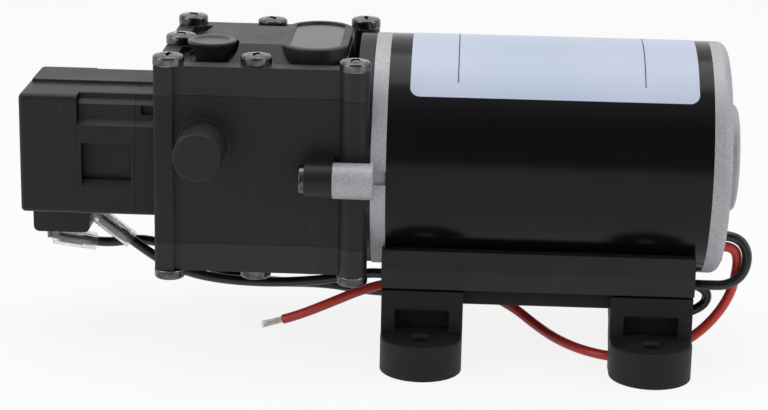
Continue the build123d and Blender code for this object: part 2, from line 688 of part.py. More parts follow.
diaphragm_seat = BODY_TOP - DIAPHRAGM_THICKNESS
tail_end = HEAD_WIDTH / 2 + PORT_BASE_HEIGHT + TAIL_LENGTH
barb_pitch = TAIL_LENGTH / (TAIL_BARBS + 1)
with BuildPart() as head_body:
    with BuildSketch(level(-BODY_TOP)):
        add(head_outline())
    extrude(amount=BODY_HEIGHT)
    chamfer(head_body.edges().filter_by(Axis.Z).group_by(Axis.X)[0], BODY_EDGE_BREAK)
    with BuildSketch(across(HEAD_RIGHT)):
        Circle(FLANGE_RADIUS)
    extrude(amount=FLANGE_THICKNESS)
    with BuildSketch(across(LUG_FRONT)):
        SlotCenterToCenter(2 * EAR_Y, 2 * EAR_RADIUS)
    extrude(amount=LUG_LENGTH)
    for side in (-1, 1):
        with BuildSketch(Plane(origin=(PORT_X, 0, AXIS_HEIGHT + PORT_RISE), z_dir=(0, side, 0))):
            Circle(PORT_BASE_RADIUS)
        extrude(amount=HEAD_WIDTH / 2 + PORT_BASE_HEIGHT)
        with BuildSketch(Plane.YZ.offset(PORT_X)) as tail_section:
            tail_start = HEAD_WIDTH / 2 + PORT_BASE_HEIGHT
            axis_z = AXIS_HEIGHT + PORT_RISE
            root = TAIL_RADIUS - TAIL_BARB_DEPTH
            with BuildLine():
                points = [(side * tail_start, axis_z), (side * tail_start, axis_z + root)]
                for barb in range(TAIL_BARBS):
                    barb_y = tail_start + barb_pitch * (barb + 1)
                    points.append((side * barb_y, axis_z + root))
                    points.append((side * barb_y, axis_z + TAIL_RADIUS))
                points += [(side * tail_end, axis_z + root), (side * tail_end, axis_z)]
                Polyline(*points, close=True)
            make_face()
        revolve(axis=Axis((PORT_X, 0, axis_z), (0, 1, 0)))
    with BuildSketch(level(-BODY_TOP)):
        with Locations((CRANK_X, 0)):
            Circle(CRANK_ROOM_RADIUS)
        with Locations(*water_way_places):
            Circle(WATER_WAY_RADIUS)
    extrude(amount=BODY_HEIGHT, mode=Mode.SUBTRACT)
    with BuildSketch(across(CRANK_X)):
        Circle(SHAFT_ROOM_RADIUS)
    extrude(amount=CASTING_FRONT - CRANK_X, mode=Mode.SUBTRACT)
    with BuildSketch(across(CASTING_FRONT - PILOT_LENGTH - SLIDE)):
        Circle(PILOT_RADIUS + FIT)
    extrude(amount=PILOT_LENGTH + SLIDE, mode=Mode.SUBTRACT)
    with BuildSketch(across(EAR_FRONT)):
        with Locations((-EAR_Y, 0), (EAR_Y, 0)):
            Circle(EAR_RADIUS + SLIDE)
    extrude(amount=EAR_LENGTH, mode=Mode.SUBTRACT)
    with BuildSketch(across(LUG_FRONT)):
        with Locations((-EAR_Y, 0), (EAR_Y, 0)):
            Circle(M4_FLANGE_SCREW[2] + SCREW_PLAY)
    extrude(amount=LUG_LENGTH, mode=Mode.SUBTRACT)
    for face, depth_sign in ((BODY_TOP, -1), (-BODY_TOP, 1)):
        with BuildSketch(level(face)):
            with Locations((CRANK_X, 0)):
                Circle(DIAPHRAGM_RADIUS + SLIDE)
        extrude(amount=depth_sign * DIAPHRAGM_THICKNESS, mode=Mode.SUBTRACT)
        with BuildSketch(level(face)):
            with Locations(*water_way_places):
                Circle(SEAL_RING_RADIUS + SEAL_CORD_RADIUS + SLIDE)
                Circle(SEAL_RING_RADIUS - SEAL_CORD_RADIUS - SLIDE, mode=Mode.SUBTRACT)
        extrude(amount=depth_sign * 2 * SEAL_CORD_RADIUS, mode=Mode.SUBTRACT)
        with BuildSketch(level(face)):
            with Locations(*cover_screw_places):
                Circle(M4_SCREW[2] + FIT)
        extrude(amount=depth_sign * (COVER_SCREW_LENGTH - COVER_THICKNESS + 0.6), mode=Mode.SUBTRACT)
    for side in (-1, 1):
        port_plane = Plane(origin=(PORT_X, side * WATER_WAY_Y, AXIS_HEIGHT + PORT_RISE), z_dir=(0, side, 0))
        with BuildSketch(port_plane):
            Circle(PORT_BORE_RADIUS)
        extrude(amount=tail_end - WATER_WAY_Y, mode=Mode.SUBTRACT)
    passage_end = Vector(PORT_X, WATER_WAY_Y, AXIS_HEIGHT)
    passage_start = Vector(HEAD_LEFT, SWITCH_PASSAGE_Y, AXIS_HEIGHT)
    passage = passage_end - passage_start
    with BuildSketch(Plane(origin=passage_start - passage.normalized() * 2, z_dir=passage)):
        Circle(SWITCH_PASSAGE_RADIUS)
    extrude(amount=passage.length + 2, mode=Mode.SUBTRACT)
    with BuildSketch(across(HEAD_LEFT)):
        with Locations(*switch_screw_places):
            Circle(M3_SCREW[2] + FIT)
    extrude(amount=SWITCH_SCREW_GRIP, mode=Mode.SUBTRACT)
save(head_body.part, "head_body")

# Covers: the lower one is the same moulding, turned over
boss_left = HEAD_RIGHT - BOSS_RIGHT_INSET - BOSS_LENGTH
boss_x = boss_left + BOSS_LENGTH / 2
panel_top_length = PANEL_LENGTH + BOSS_LENGTH / 2
panel_x = boss_x - panel_top_length / 2
moat_left = HEAD_LEFT + END_RIM_WIDTH
moat_right = HEAD_RIGHT - COVER_SET_BACK - RIGHT_RIM_WIDTH
moat_half_width = HEAD_WIDTH / 2 - SIDE_RIM_WIDTH
moat_floor = COVER_TOP - MOAT_DEPTH
panel_slope = degrees(atan(PANEL_SKIRT / (MOAT_DEPTH + PANEL_HEIGHT)))
valve_plate_top = BODY_TOP + VALVE_PLATE_THICKNESS
gallery_top = valve_plate_top + GALLERY_DEPTH
with BuildPart() as top_cover:
    with BuildSketch(level(BODY_TOP)):
        add(head_outline())
    extrude(amount=COVER_THICKNESS)
    chamfer(top_cover.edges().filter_by(Axis.Z).group_by(Axis.X)[0], BODY_EDGE_BREAK)
    # The sunk floor inside the rim, with a seat left round each screw
    with BuildSketch(level(moat_floor)):
        with Locations(((moat_left + moat_right) / 2, 0)):
            RectangleRounded(moat_right - moat_left, 2 * moat_half_width, MOAT_CORNER)
        with Locations(*cover_screw_places):
            Circle(M4_SCREW[0] + SEAT_STEP, mode=Mode.SUBTRACT)
    extrude(amount=MOAT_DEPTH, mode=Mode.SUBTRACT)
    # The island, with its sloped sides, and the boss that it runs into
    with BuildSketch(level(moat_floor)):
        with Locations((panel_x, 0)):
            Rectangle(panel_top_length + 2 * PANEL_SKIRT, PANEL_WIDTH + 2 * PANEL_SKIRT)
    extrude(amount=MOAT_DEPTH + PANEL_HEIGHT, taper=panel_slope)
    with BuildSketch(level(moat_floor)):
        with Locations((boss_x, 0)):
            SlotOverall(BOSS_WIDTH, BOSS_LENGTH, rotation=90)
    extrude(amount=MOAT_DEPTH + BOSS_HEIGHT)
    fillet(top_cover.edges().group_by(Axis.Z)[-1], 0.5)
    with BuildSketch(level(COVER_TOP + BOSS_HEIGHT - BOSS_INSET_DEPTH)):
        with Locations((boss_x, 0)):
            SlotOverall(BOSS_WIDTH - 2 * BOSS_RIM, 2 * BOSS_INSET_END_RADIUS, rotation=90)
            Rectangle(BOSS_LENGTH - 2 * BOSS_RIM, BOSS_WIDTH, mode=Mode.INTERSECT)
    extrude(amount=BOSS_HEIGHT, mode=Mode.SUBTRACT)
    with BuildSketch(level(moat_floor)):
        with Locations((PLUG_X, PLUG_Y)):
            Circle(PLUG_POCKET)
    extrude(amount=MOAT_DEPTH + BOSS_HEIGHT, mode=Mode.SUBTRACT)
    with BuildSketch(level(BODY_TOP)):
        with Locations((CRANK_X, 0)):
            Circle(DIAPHRAGM_RADIUS + SLIDE)
    extrude(amount=VALVE_PLATE_THICKNESS, mode=Mode.SUBTRACT)
    with BuildSketch(level(BODY_TOP)):
        with Locations((CRANK_X, 0)):
            Circle(GALLERY_RADIUS)
            Rectangle(2 * GALLERY_RADIUS, GALLERY_RIB, mode=Mode.SUBTRACT)
    extrude(amount=gallery_top - BODY_TOP, mode=Mode.SUBTRACT)
    for side in (-1, 1):
        with BuildSketch(level(valve_plate_top)):
            with Locations((PORT_X, side * WATER_WAY_Y), (CRANK_X - GALLERY_RADIUS / 2, side * VALVE_Y)):
                Circle(WATER_WAY_RADIUS)
            make_hull()
        extrude(amount=GALLERY_DEPTH, mode=Mode.SUBTRACT)
    with BuildSketch(level(BODY_TOP)):
        with Locations(*water_way_places):
            Circle(WATER_WAY_RADIUS)
    extrude(amount=gallery_top - BODY_TOP, mode=Mode.SUBTRACT)
    with BuildSketch(level(BODY_TOP)):
        with Locations(*cover_screw_places):
            Circle(M4_SCREW[2] + SCREW_PLAY)
    extrude(amount=COVER_THICKNESS, mode=Mode.SUBTRACT)
    with BuildSketch(level(valve_plate_top)):
        with Locations((PLUG_X, PLUG_Y)):
            Circle(PLUG_NECK)
    extrude(amount=COVER_THICKNESS, mode=Mode.SUBTRACT)
    with Locations((HEAD_RIGHT, 0, AXIS_HEIGHT + BODY_TOP + COVER_THICKNESS / 2)):
        Box(2 * COVER_SET_BACK, 2 * (cover_screw_ys[2] - ROUND_POST_RADIUS - SEAT_STEP), COVER_THICKNESS,
            mode=Mode.SUBTRACT)
    with BuildSketch(across(HEAD_RIGHT)):
        Circle(FLANGE_RADIUS + SLIDE)
    extrude(amount=FLANGE_THICKNESS, mode=Mode.SUBTRACT)
save(top_cover.part, "top_cover")


def turned_over(piece):
    """The same piece for the lower side of the head."""
    return piece.rotate(motor_axis, 180)


save(turned_over(top_cover.part), "bottom_cover")

# Plugs, cover screws and seals
plug_depth = COVER_TOP - valve_plate_top - SLIDE
with BuildPart() as plug:
    with BuildSketch(Plane.XZ):
        with BuildLine():
            Polyline((0, PLUG_HEIGHT - PLUG_DISH), (0, -plug_depth), (PLUG_NECK - FIT, -plug_depth),
                     (PLUG_NECK - FIT, -MOAT_DEPTH), (PLUG_FOOT_RADIUS, -MOAT_DEPTH),
                     (PLUG_RADIUS, PLUG_HEIGHT - PLUG_RIM),
                     (PLUG_RADIUS, PLUG_HEIGHT - 0.25), (PLUG_RADIUS - 0.3, PLUG_HEIGHT),
                     (PLUG_RADIUS - 1.2, PLUG_HEIGHT),
                     (PLUG_RADIUS - 2.4, PLUG_HEIGHT - PLUG_DISH), close=True)
        make_face()
    revolve(axis=Axis.Z)
top_plug_part = placed(plug.part, PLUG_X, PLUG_Y, COVER_TOP)
with BuildPart() as cover_plugs:
    add(top_plug_part)
    add(turned_over(top_plug_part))
save(cover_plugs.part, "cover_plugs")

cover_screw = pan_screw(*M4_SCREW, COVER_SCREW_LENGTH)
with BuildPart() as cover_screws:
    for number, (x, y) in enumerate(cover_screw_places):
        turned_screw = placed(cover_screw.rotate(Axis.Z, number * SCREW_TURN_STEP), x, y, COVER_TOP)
        add(turned_screw)
        add(turned_over(turned_screw))
save(cover_screws.part, "cover_screws")

with BuildPart() as cover_seals:
    for face, depth_sign in ((BODY_TOP, -1), (-BODY_TOP, 1)):
        for x, y in water_way_places:
            with Locations((x, y, AXIS_HEIGHT + face + depth_sign * SEAL_CORD_RADIUS)):
                Torus(SEAL_RING_RADIUS, SEAL_CORD_RADIUS)
save(cover_seals.part, "cover_seals")

# Hose port caps
cap_start = HEAD_WIDTH / 2 + PORT_BASE_HEIGHT + SKIN
cap_inner = tail_end + SLIDE
for side, name in ((-1, "inlet_port_cap"), (1, "outlet_port_cap")):
    cap_plane = Plane(
        origin=(PORT_X, side * cap_start, AXIS_HEIGHT + PORT_RISE), x_dir=(1, 0, 0), z_dir=(0, side, 0)
    )
    with BuildPart() as port_cap:
        with BuildSketch(cap_plane):
            Circle(PORT_CAP_RADIUS)
        extrude(amount=cap_inner + PORT_CAP_END - cap_start)
        fillet(port_cap.edges().group_by(Axis.Y)[0 if side < 0 else -1], PORT_CAP_ROUNDING)
        with BuildSketch(cap_plane):
            Circle(TAIL_RADIUS + SLIDE / 2)
        extrude(amount=cap_inner - cap_start, mode=Mode.SUBTRACT)
    save(port_cap.part, name)

# Valve plates and umbrella valves
valve_recess = VALVE_CAP_HEIGHT + 0.2
with BuildPart() as valve_plate:
    with BuildSketch(level(BODY_TOP)):
        with Locations((CRANK_X, 0)):
            Circle(DIAPHRAGM_RADIUS)
    extrude(amount=VALVE_PLATE_THICKNESS)
    for side, start, amount in ((1, BODY_TOP, valve_recess), (-1, valve_plate_top, -valve_recess)):
        with BuildSketch(level(start)):
            with Locations((CRANK_X, side * VALVE_Y)):
                Circle(VALVE_CAP_RADIUS + 0.4)
        extrude(amount=amount, mode=Mode.SUBTRACT)
    with BuildSketch(level(BODY_TOP)):
        with Locations((CRANK_X, VALVE_Y), (CRANK_X, -VALVE_Y)):
            Circle(VALVE_STEM_RADIUS + FIT)
            with PolarLocations(VALVE_PORT_CIRCLE, VALVE_PORTS):
                Circle(VALVE_PORT_RADIUS)
    extrude(amount=VALVE_PLATE_THICKNESS, mode=Mode.SUBTRACT)
with BuildPart() as valve_plates:
    add(valve_plate.part)
    add(turned_over(valve_plate.part))
save(valve_plates.part, "valve_plates")

valve_web = VALVE_PLATE_THICKNESS - valve_recess
with BuildPart() as umbrella:
    with BuildSketch(Plane.XZ):
        with BuildLine():
            Polyline((VALVE_CAP_RADIUS, 0.3), (VALVE_CAP_RADIUS, 0), (VALVE_STEM_RADIUS, 0),
                     (VALVE_STEM_RADIUS, -valve_web), (0, -valve_web), (0, VALVE_CAP_HEIGHT))
            ThreePointArc((0, VALVE_CAP_HEIGHT), (0.6 * VALVE_CAP_RADIUS, 0.82 * VALVE_CAP_HEIGHT),
                          (VALVE_CAP_RADIUS, 0.3))
        make_face()
    revolve(axis=Axis.Z)
outlet_umbrella = placed(umbrella.part, CRANK_X, -VALVE_Y, valve_plate_top - valve_recess)
inlet_umbrella = placed(umbrella.part.rotate(Axis.X, 180), CRANK_X, VALVE_Y, BODY_TOP + valve_recess)
with BuildPart() as umbrella_valves:
    for valve in (outlet_umbrella, inlet_umbrella):
        add(valve)
        add(turned_over(valve))
save(umbrella_valves.part, "umbrella_valves")

# Diaphragms: the crank stands at the top of its turn
for name, direction, piston_face in (
    ("upper_diaphragm", 1, PISTON_RISE + CRANK_THROW),
    ("lower_diaphragm", -1, PISTON_RISE - CRANK_THROW),
):
    membrane_top = piston_face + DIAPHRAGM_THICKNESS
    with BuildPart() as diaphragm:
        with BuildSketch(Plane.XZ):
            with BuildLine():
                Polyline((M4_SCREW[2] + 0.3, piston_face), (PISTON_RADIUS, piston_face),
                         (CRANK_ROOM_RADIUS - 0.2, diaphragm_seat), (DIAPHRAGM_RADIUS, diaphragm_seat),
                         (DIAPHRAGM_RADIUS, BODY_TOP), (CRANK_ROOM_RADIUS - 0.8, BODY_TOP),
                         (PISTON_RADIUS, membrane_top), (M4_SCREW[2] + 0.3, membrane_top), close=True)
            make_face()
        revolve(axis=Axis.Z)
    shape = diaphragm.part if direction > 0 else diaphragm.part.rotate(Axis.X, 180)
    save(placed(shape, CRANK_X), name)

# Crank: hub, bearing, yoke and pistons, all with the throw upward
hub_left = CRANK_X - CRANK_BEARING[2] / 2
hub_collar_left = CRANK_X + CRANK_BEARING[2] / 2
grub_x = hub_collar_left + HUB_COLLAR_LENGTH / 2
with BuildPart() as eccentric_hub:
    with BuildSketch(across(hub_left)):
        with Locations((0, CRANK_THROW)):
            Circle(CRANK_BEARING[0] - SKIN)
    extrude(amount=CRANK_BEARING[2])
    with BuildSketch(across(hub_collar_left)):
        Circle(HUB_COLLAR_RADIUS)
    extrude(amount=HUB_COLLAR_LENGTH)
    with BuildSketch(across(hub_left)):
        Circle(NOSE_RADIUS + SKIN)
    extrude(amount=CRANK_BEARING[2] + HUB_COLLAR_LENGTH, mode=Mode.SUBTRACT)
    with BuildSketch(Plane(origin=(grub_x, 0, AXIS_HEIGHT), z_dir=(0, 1, 0))):
        Circle(M3_SCREW[2] + FIT)
    extrude(amount=HUB_COLLAR_RADIUS, mode=Mode.SUBTRACT)
save(eccentric_hub.part, "eccentric_hub")

with BuildPart() as hub_grub_screw:
    with BuildSketch(Plane(origin=(grub_x, NOSE_RADIUS + SKIN, AXIS_HEIGHT), z_dir=(0, 1, 0))):
        Circle(M3_SCREW[2])
    extrude(amount=HUB_COLLAR_RADIUS - NOSE_RADIUS - 0.6)
    with BuildSketch(Plane(origin=(grub_x, HUB_COLLAR_RADIUS - 0.6, AXIS_HEIGHT), z_dir=(0, 1, 0))):
        RegularPolygon(0.85, 6)
    extrude(amount=-1.8, mode=Mode.SUBTRACT)
save(hub_grub_screw.part, "hub_grub_screw")

crank_outer, crank_inner, crank_balls = bearing(CRANK_BEARING)
save(placed(crank_outer, CRANK_X, rise=CRANK_THROW), "crank_bearing_outer_ring")
save(placed(crank_inner, CRANK_X, rise=CRANK_THROW), "crank_bearing_inner_ring")
save(placed(crank_balls, CRANK_X, rise=CRANK_THROW), "crank_bearing_balls")

yoke_radius = CRANK_BEARING[1] + YOKE_WALL
with BuildPart() as crank_yoke:
    with BuildSketch(across(CRANK_X - YOKE_WIDTH / 2)):
        with Locations((0, CRANK_THROW)):
            Circle(yoke_radius)
    extrude(amount=YOKE_WIDTH)
    for direction in (-1, 1):
        with BuildSketch(level(CRANK_THROW + direction * PISTON_RISE)):
            with Locations((CRANK_X, 0)):
                Circle(PISTON_RADIUS)
        extrude(amount=-direction * PISTON_THICKNESS)
    with BuildSketch(across(CRANK_X - YOKE_WIDTH)):
        with Locations((0, CRANK_THROW)):
            Circle(CRANK_BEARING[1] + SKIN)
    extrude(amount=2 * YOKE_WIDTH, mode=Mode.SUBTRACT)
    with BuildSketch(level(CRANK_THROW - PISTON_RISE)):
        with Locations((CRANK_X, 0)):
            Circle(M4_SCREW[2] + FIT)
    extrude(amount=2 * PISTON_RISE, mode=Mode.SUBTRACT)
save(crank_yoke.part, "crank_yoke")

with BuildPart() as piston_plate:
    with BuildSketch(Plane.XY.offset(PISTON_RISE + DIAPHRAGM_THICKNESS)):
        Circle(PISTON_PLATE_RADIUS)
        Circle(M4_SCREW[2] + FIT, mode=Mode.SUBTRACT)
    extrude(amount=PISTON_PLATE_THICKNESS)
    fillet(piston_plate.edges().group_by(Axis.Z)[-1].sort_by(SortBy.LENGTH)[-1], 0.5)
piston_screw = pan_screw(M4_SCREW[0] - 0.6, PISTON_SCREW_HEAD, M4_SCREW[2], PISTON_SCREW_LENGTH)
piston_screw_seat = PISTON_RISE + DIAPHRAGM_THICKNESS + PISTON_PLATE_THICKNESS
with BuildPart() as piston_plates:
    for turn in (0, 180):
        add(placed(piston_plate.part.rotate(Axis.X, turn), CRANK_X, rise=CRANK_THROW))
save(piston_plates.part, "piston_plates")
with BuildPart() as piston_screws:
    for turn in (0, 180):
        screw = (Pos(0, 0, piston_screw_seat) * piston_screw).rotate(Axis.X, turn)
        add(placed(screw, CRANK_X, rise=CRANK_THROW))
save(piston_screws.part, "piston_screws")

# Screws that hold the head to the motor's ears
flange_screw = pan_screw(*M4_FLANGE_SCREW, FLANGE_SCREW_LENGTH).rotate(Axis.Y, -90)
with BuildPart() as flange_screws:
    with Locations(*[(LUG_FRONT, side * EAR_Y, AXIS_HEIGHT) for side in (-1, 1)]):
        add(flange_screw)
save(flange_screws.part, "flange_screws")

# Pressure switch
switch_half_width = SWITCH_WIDTH / 2
switch_half_height = SWITCH_HEIGHT / 2
shoulder_half_width = switch_half_width - SHOULDER_STEP
upper_half_width = shoulder_half_width - UPPER_SHOULDER_STEP


def top_rib_section():
    """Cross-section of the raised far part of the switch's top."""
    with BuildSketch(Plane.XY) as section:
        with BuildLine():
            Polyline((TOP_RIB_FROM_Y - TOP_RIB_ROOT, switch_half_height - TOP_RIB_ROOT),
                     (TOP_RIB_FROM_Y, switch_half_height + TOP_RIB_HEIGHT),
                     (TOP_RIB_TO_Y, switch_half_height + TOP_RIB_HEIGHT),
                     (TOP_RIB_TO_Y + 2 * TOP_RIB_ROOT, switch_half_height - TOP_RIB_ROOT), close=True)
        make_face()
    return section.sketch


def shouldered_section():
    """Cross-section of the switch: a block that draws in twice, over sloped ledges, towards its top."""
    right_side = [
        (switch_half_width, -switch_half_height), (switch_half_width, SHOULDER_RISE),
        (shoulder_half_width, SHOULDER_RISE + SHOULDER_SLOPE), (shoulder_half_width, UPPER_SHOULDER_RISE),
        (upper_half_width, UPPER_SHOULDER_RISE + UPPER_SHOULDER_SLOPE), (upper_half_width, switch_half_height),
    ]
    left_side = [(-y, rise) for y, rise in reversed(right_side)]
    with BuildSketch(Plane.XY) as section:
        with BuildLine():
            Polyline(*right_side, *left_side, close=True)
        make_face()
        fillet(section.vertices().group_by(Axis.Y)[0], 1.2)
        fillet(section.vertices().group_by(Axis.Y)[-1], 0.6)
        add(top_rib_section())
    return section.sketch


with BuildPart() as switch_flange:
    with BuildSketch(across(SWITCH_HOUSING_RIGHT)):
        add(shouldered_section())
        with Locations(*switch_screw_places):
            Circle(M3_SCREW[2] + SCREW_PLAY, mode=Mode.SUBTRACT)
    extrude(amount=SWITCH_FLANGE_LENGTH)
    with BuildSketch(across(SWITCH_HOUSING_RIGHT)):
        Circle(SWITCH_CHAMBER_RADIUS)
    extrude(amount=SWITCH_CHAMBER_DEPTH, mode=Mode.SUBTRACT)
    with BuildSketch(across(SWITCH_HOUSING_RIGHT)):
        with Locations((SWITCH_PASSAGE_Y, 0)):
            Circle(SWITCH_PASSAGE_RADIUS)
    extrude(amount=SWITCH_FLANGE_LENGTH, mode=Mode.SUBTRACT)
    for side in (-1, 1):
        with Locations((SWITCH_HOUSING_RIGHT + SWITCH_FLANGE_LENGTH / 2 + 0.8, side * shoulder_half_width,
                        AXIS_HEIGHT + (FLANGE_POCKET_BOTTOM + FLANGE_POCKET_TOP) / 2)):
            Box(SWITCH_FLANGE_LENGTH - 1.6, 2 * FLANGE_POCKET_DEPTH, FLANGE_POCKET_TOP - FLANGE_POCKET_BOTTOM,
                mode=Mode.SUBTRACT)
save(switch_flange.part, "switch_flange")

with BuildPart() as switch_diaphragm:
    with BuildSketch(across(SWITCH_HOUSING_RIGHT - SWITCH_DIAPHRAGM_THICKNESS)):
        Circle(SWITCH_DIAPHRAGM_RADIUS)
    extrude(amount=SWITCH_DIAPHRAGM_THICKNESS)
save(switch_diaphragm.part, "switch_diaphragm")

window_height = WINDOW_TOP - WINDOW_BOTTOM
window_length = SWITCH_HOUSING_LENGTH - 2 * WINDOW_END_WALL
piston_right = SWITCH_HOUSING_RIGHT - SWITCH_DIAPHRAGM_THICKNESS
piston_left = piston_right - SWITCH_PISTON_THICKNESS
piston_room = SWITCH_PISTON_THICKNESS + SWITCH_TRAVEL + 0.6
micro_right = SWITCH_CAP_RIGHT + MICRO_RIGHT_INSET
micro_left = micro_right - MICRO_LENGTH
foot_end = micro_right + MICRO_BUTTON_PROUD + SLIDE
arm_room_left = foot_end - SWITCH_TRAVEL - 0.3
with BuildPart() as switch_housing:
    with BuildSketch(across(SWITCH_CAP_RIGHT)):
        add(shouldered_section())
        with Locations(*switch_screw_places):
            Circle(M3_SCREW[2] + SCREW_PLAY, mode=Mode.SUBTRACT)
    extrude(amount=SWITCH_HOUSING_LENGTH)
    for side in (-1, 1):
        with Locations((SWITCH_CAP_RIGHT + SWITCH_HOUSING_LENGTH / 2, side * switch_half_width,
                        AXIS_HEIGHT + (WINDOW_TOP + WINDOW_BOTTOM) / 2)):
            Box(window_length, 2 * WINDOW_DEPTH, window_height, mode=Mode.SUBTRACT)
    sill_edges = switch_housing.edges().filter_by(Axis.X).filter_by(
        lambda edge: abs(abs(edge.center().Y) - switch_half_width) < 0.01
        and abs(edge.center().Z - AXIS_HEIGHT - WINDOW_BOTTOM) < 0.1
    )
    chamfer(sill_edges, WINDOW_SILL)
    with BuildSketch(across(SWITCH_HOUSING_RIGHT)):
        Circle(SWITCH_DIAPHRAGM_RADIUS + SLIDE)
    extrude(amount=-SWITCH_DIAPHRAGM_THICKNESS, mode=Mode.SUBTRACT)
    with BuildSketch(across(piston_right)):
        Circle(SWITCH_PISTON_RADIUS + SLIDE)
    extrude(amount=-piston_room, mode=Mode.SUBTRACT)
    with BuildSketch(across(SWITCH_CAP_RIGHT)):
        Circle(SPRING_ROOM_RADIUS)
    extrude(amount=SWITCH_HOUSING_LENGTH, mode=Mode.SUBTRACT)
    arm_middle = (FOOT_ARM_TOP + FOOT_ARM_BOTTOM) / 2
    with Locations(((piston_right + SWITCH_CAP_RIGHT) / 2, 0, AXIS_HEIGHT + arm_middle)):
        Box(piston_right - SWITCH_CAP_RIGHT, FOOT_ARM_WIDTH + 4 * SLIDE,
            FOOT_ARM_TOP - FOOT_ARM_BOTTOM + 4 * SLIDE, mode=Mode.SUBTRACT)
    with Locations((SWITCH_CAP_RIGHT, 0, AXIS_HEIGHT + (MICRO_TOP - switch_half_height) / 2)):
        Box(2 * (MICRO_RIGHT_INSET + SLIDE), MICRO_WIDTH + 2 * SLIDE,
            MICRO_TOP + switch_half_height + 2 * SLIDE, mode=Mode.SUBTRACT)
save(switch_housing.part, "switch_housing")

with BuildPart() as switch_piston:
    with BuildSketch(across(piston_left)):
        Circle(SWITCH_PISTON_RADIUS)
    extrude(amount=SWITCH_PISTON_THICKNESS)
    with BuildSketch(across(piston_left)):
        Circle(SWITCH_STEM_RADIUS)
    extrude(amount=-SWITCH_STEM_LENGTH)
    arm_right = piston_right - 1.0
    with Locations(((foot_end + arm_right) / 2, 0, AXIS_HEIGHT + arm_middle)):
        Box(arm_right - foot_end, FOOT_ARM_WIDTH, FOOT_ARM_TOP - FOOT_ARM_BOTTOM)
    with BuildSketch(across(piston_left - SWITCH_STEM_LENGTH)):
        Circle(SPRING_RADIUS + 0.3)
        Circle(SWITCH_STEM_RADIUS, mode=Mode.SUBTRACT)
    extrude(amount=SWITCH_STEM_LENGTH, mode=Mode.SUBTRACT)
save(switch_piston.part, "switch_piston")

seat_right = SWITCH_LEFT + ADJUSTER_SUNK + ADJUSTER_LENGTH + SPRING_SEAT_THICKNESS
with BuildPart() as switch_spring:
    with BuildSketch(across(seat_right)):
        Circle(SPRING_RADIUS)
        Circle(SPRING_RADIUS - SPRING_WALL, mode=Mode.SUBTRACT)
    extrude(amount=piston_left - seat_right)
save(switch_spring.part, "switch_spring")

with BuildPart() as adjusting_screw:
    with BuildSketch(across(SWITCH_LEFT + ADJUSTER_SUNK)):
        Circle(ADJUSTER_RADIUS)
    extrude(amount=ADJUSTER_LENGTH)
    with BuildSketch(across(SWITCH_LEFT + ADJUSTER_SUNK)):
        RegularPolygon(ADJUSTER_SOCKET / 2, 6, major_radius=False)
    extrude(amount=ADJUSTER_LENGTH / 2, mode=Mode.SUBTRACT)
    with BuildSketch(across(seat_right - SPRING_SEAT_THICKNESS)):
        Circle(SPRING_RADIUS)
    extrude(amount=SPRING_SEAT_THICKNESS)
save(adjusting_screw.part, "adjusting_screw")

head_sink = M3_SCREW[1] + 0.4
with BuildPart() as switch_cap:
    with BuildSketch(across(SWITCH_LEFT)):
        RectangleRounded(SWITCH_WIDTH, SWITCH_HEIGHT, SWITCH_CORNER)
    extrude(amount=SWITCH_CAP_LENGTH)
    fillet(switch_cap.edges().group_by(Axis.X)[0], 1.1)
    with BuildSketch(across(SWITCH_LEFT + 1.1)):
        add(top_rib_section())
    extrude(amount=SWITCH_CAP_LENGTH - 1.1)
    with BuildSketch(across(SWITCH_CAP_RIGHT)):
        RectangleRounded(SWITCH_WIDTH - 2 * SWITCH_WALL, SWITCH_HEIGHT - 2 * SWITCH_WALL, 1.0)
    extrude(amount=-(SWITCH_CAP_LENGTH - SWITCH_WALL), mode=Mode.SUBTRACT)
    with BuildSketch(across(SWITCH_LEFT + SWITCH_WALL / 2)):
        with Locations(*switch_screw_places):
            Circle(SWITCH_POST_RADIUS)
    extrude(amount=SWITCH_CAP_LENGTH - SWITCH_WALL / 2)
    with BuildSketch(across(SWITCH_LEFT + SWITCH_WALL / 2)):
        Circle(ADJUSTER_BOSS_RADIUS)
    extrude(amount=ADJUSTER_SUNK + ADJUSTER_LENGTH - SWITCH_WALL / 2)
    with BuildSketch(across(SWITCH_LEFT)):
        Circle(ADJUSTER_RADIUS + FIT)
        with Locations(*switch_screw_places):
            Circle(M3_SCREW[2] + SCREW_PLAY)
    extrude(amount=SWITCH_CAP_LENGTH, mode=Mode.SUBTRACT)
    with BuildSketch(across(SWITCH_LEFT)):
        with Locations(*switch_screw_places):
            Circle(M3_SCREW[0] + SCREW_PLAY)
    extrude(amount=head_sink, mode=Mode.SUBTRACT)
    micro_room_left = micro_left - SLIDE
    with Locations(((micro_room_left + SWITCH_CAP_RIGHT) / 2, 0,
                    AXIS_HEIGHT + (MICRO_TOP - switch_half_height) / 2)):
        Box(SWITCH_CAP_RIGHT - micro_room_left, MICRO_WIDTH + 2 * SLIDE,
            MICRO_TOP + switch_half_height + 2 * SLIDE, mode=Mode.SUBTRACT)
save(switch_cap.part, "switch_cap")

switch_screw_length = HEAD_LEFT + SWITCH_SCREW_GRIP - 0.5 - (SWITCH_LEFT + head_sink)
switch_screw = pan_screw(*M3_SCREW, switch_screw_length).rotate(Axis.Y, -90)
with BuildPart() as switch_screws:
    with Locations(*[(SWITCH_LEFT + head_sink, y, AXIS_HEIGHT + rise) for y, rise in switch_screw_places]):
        add(switch_screw)
save(switch_screws.part, "switch_screws")

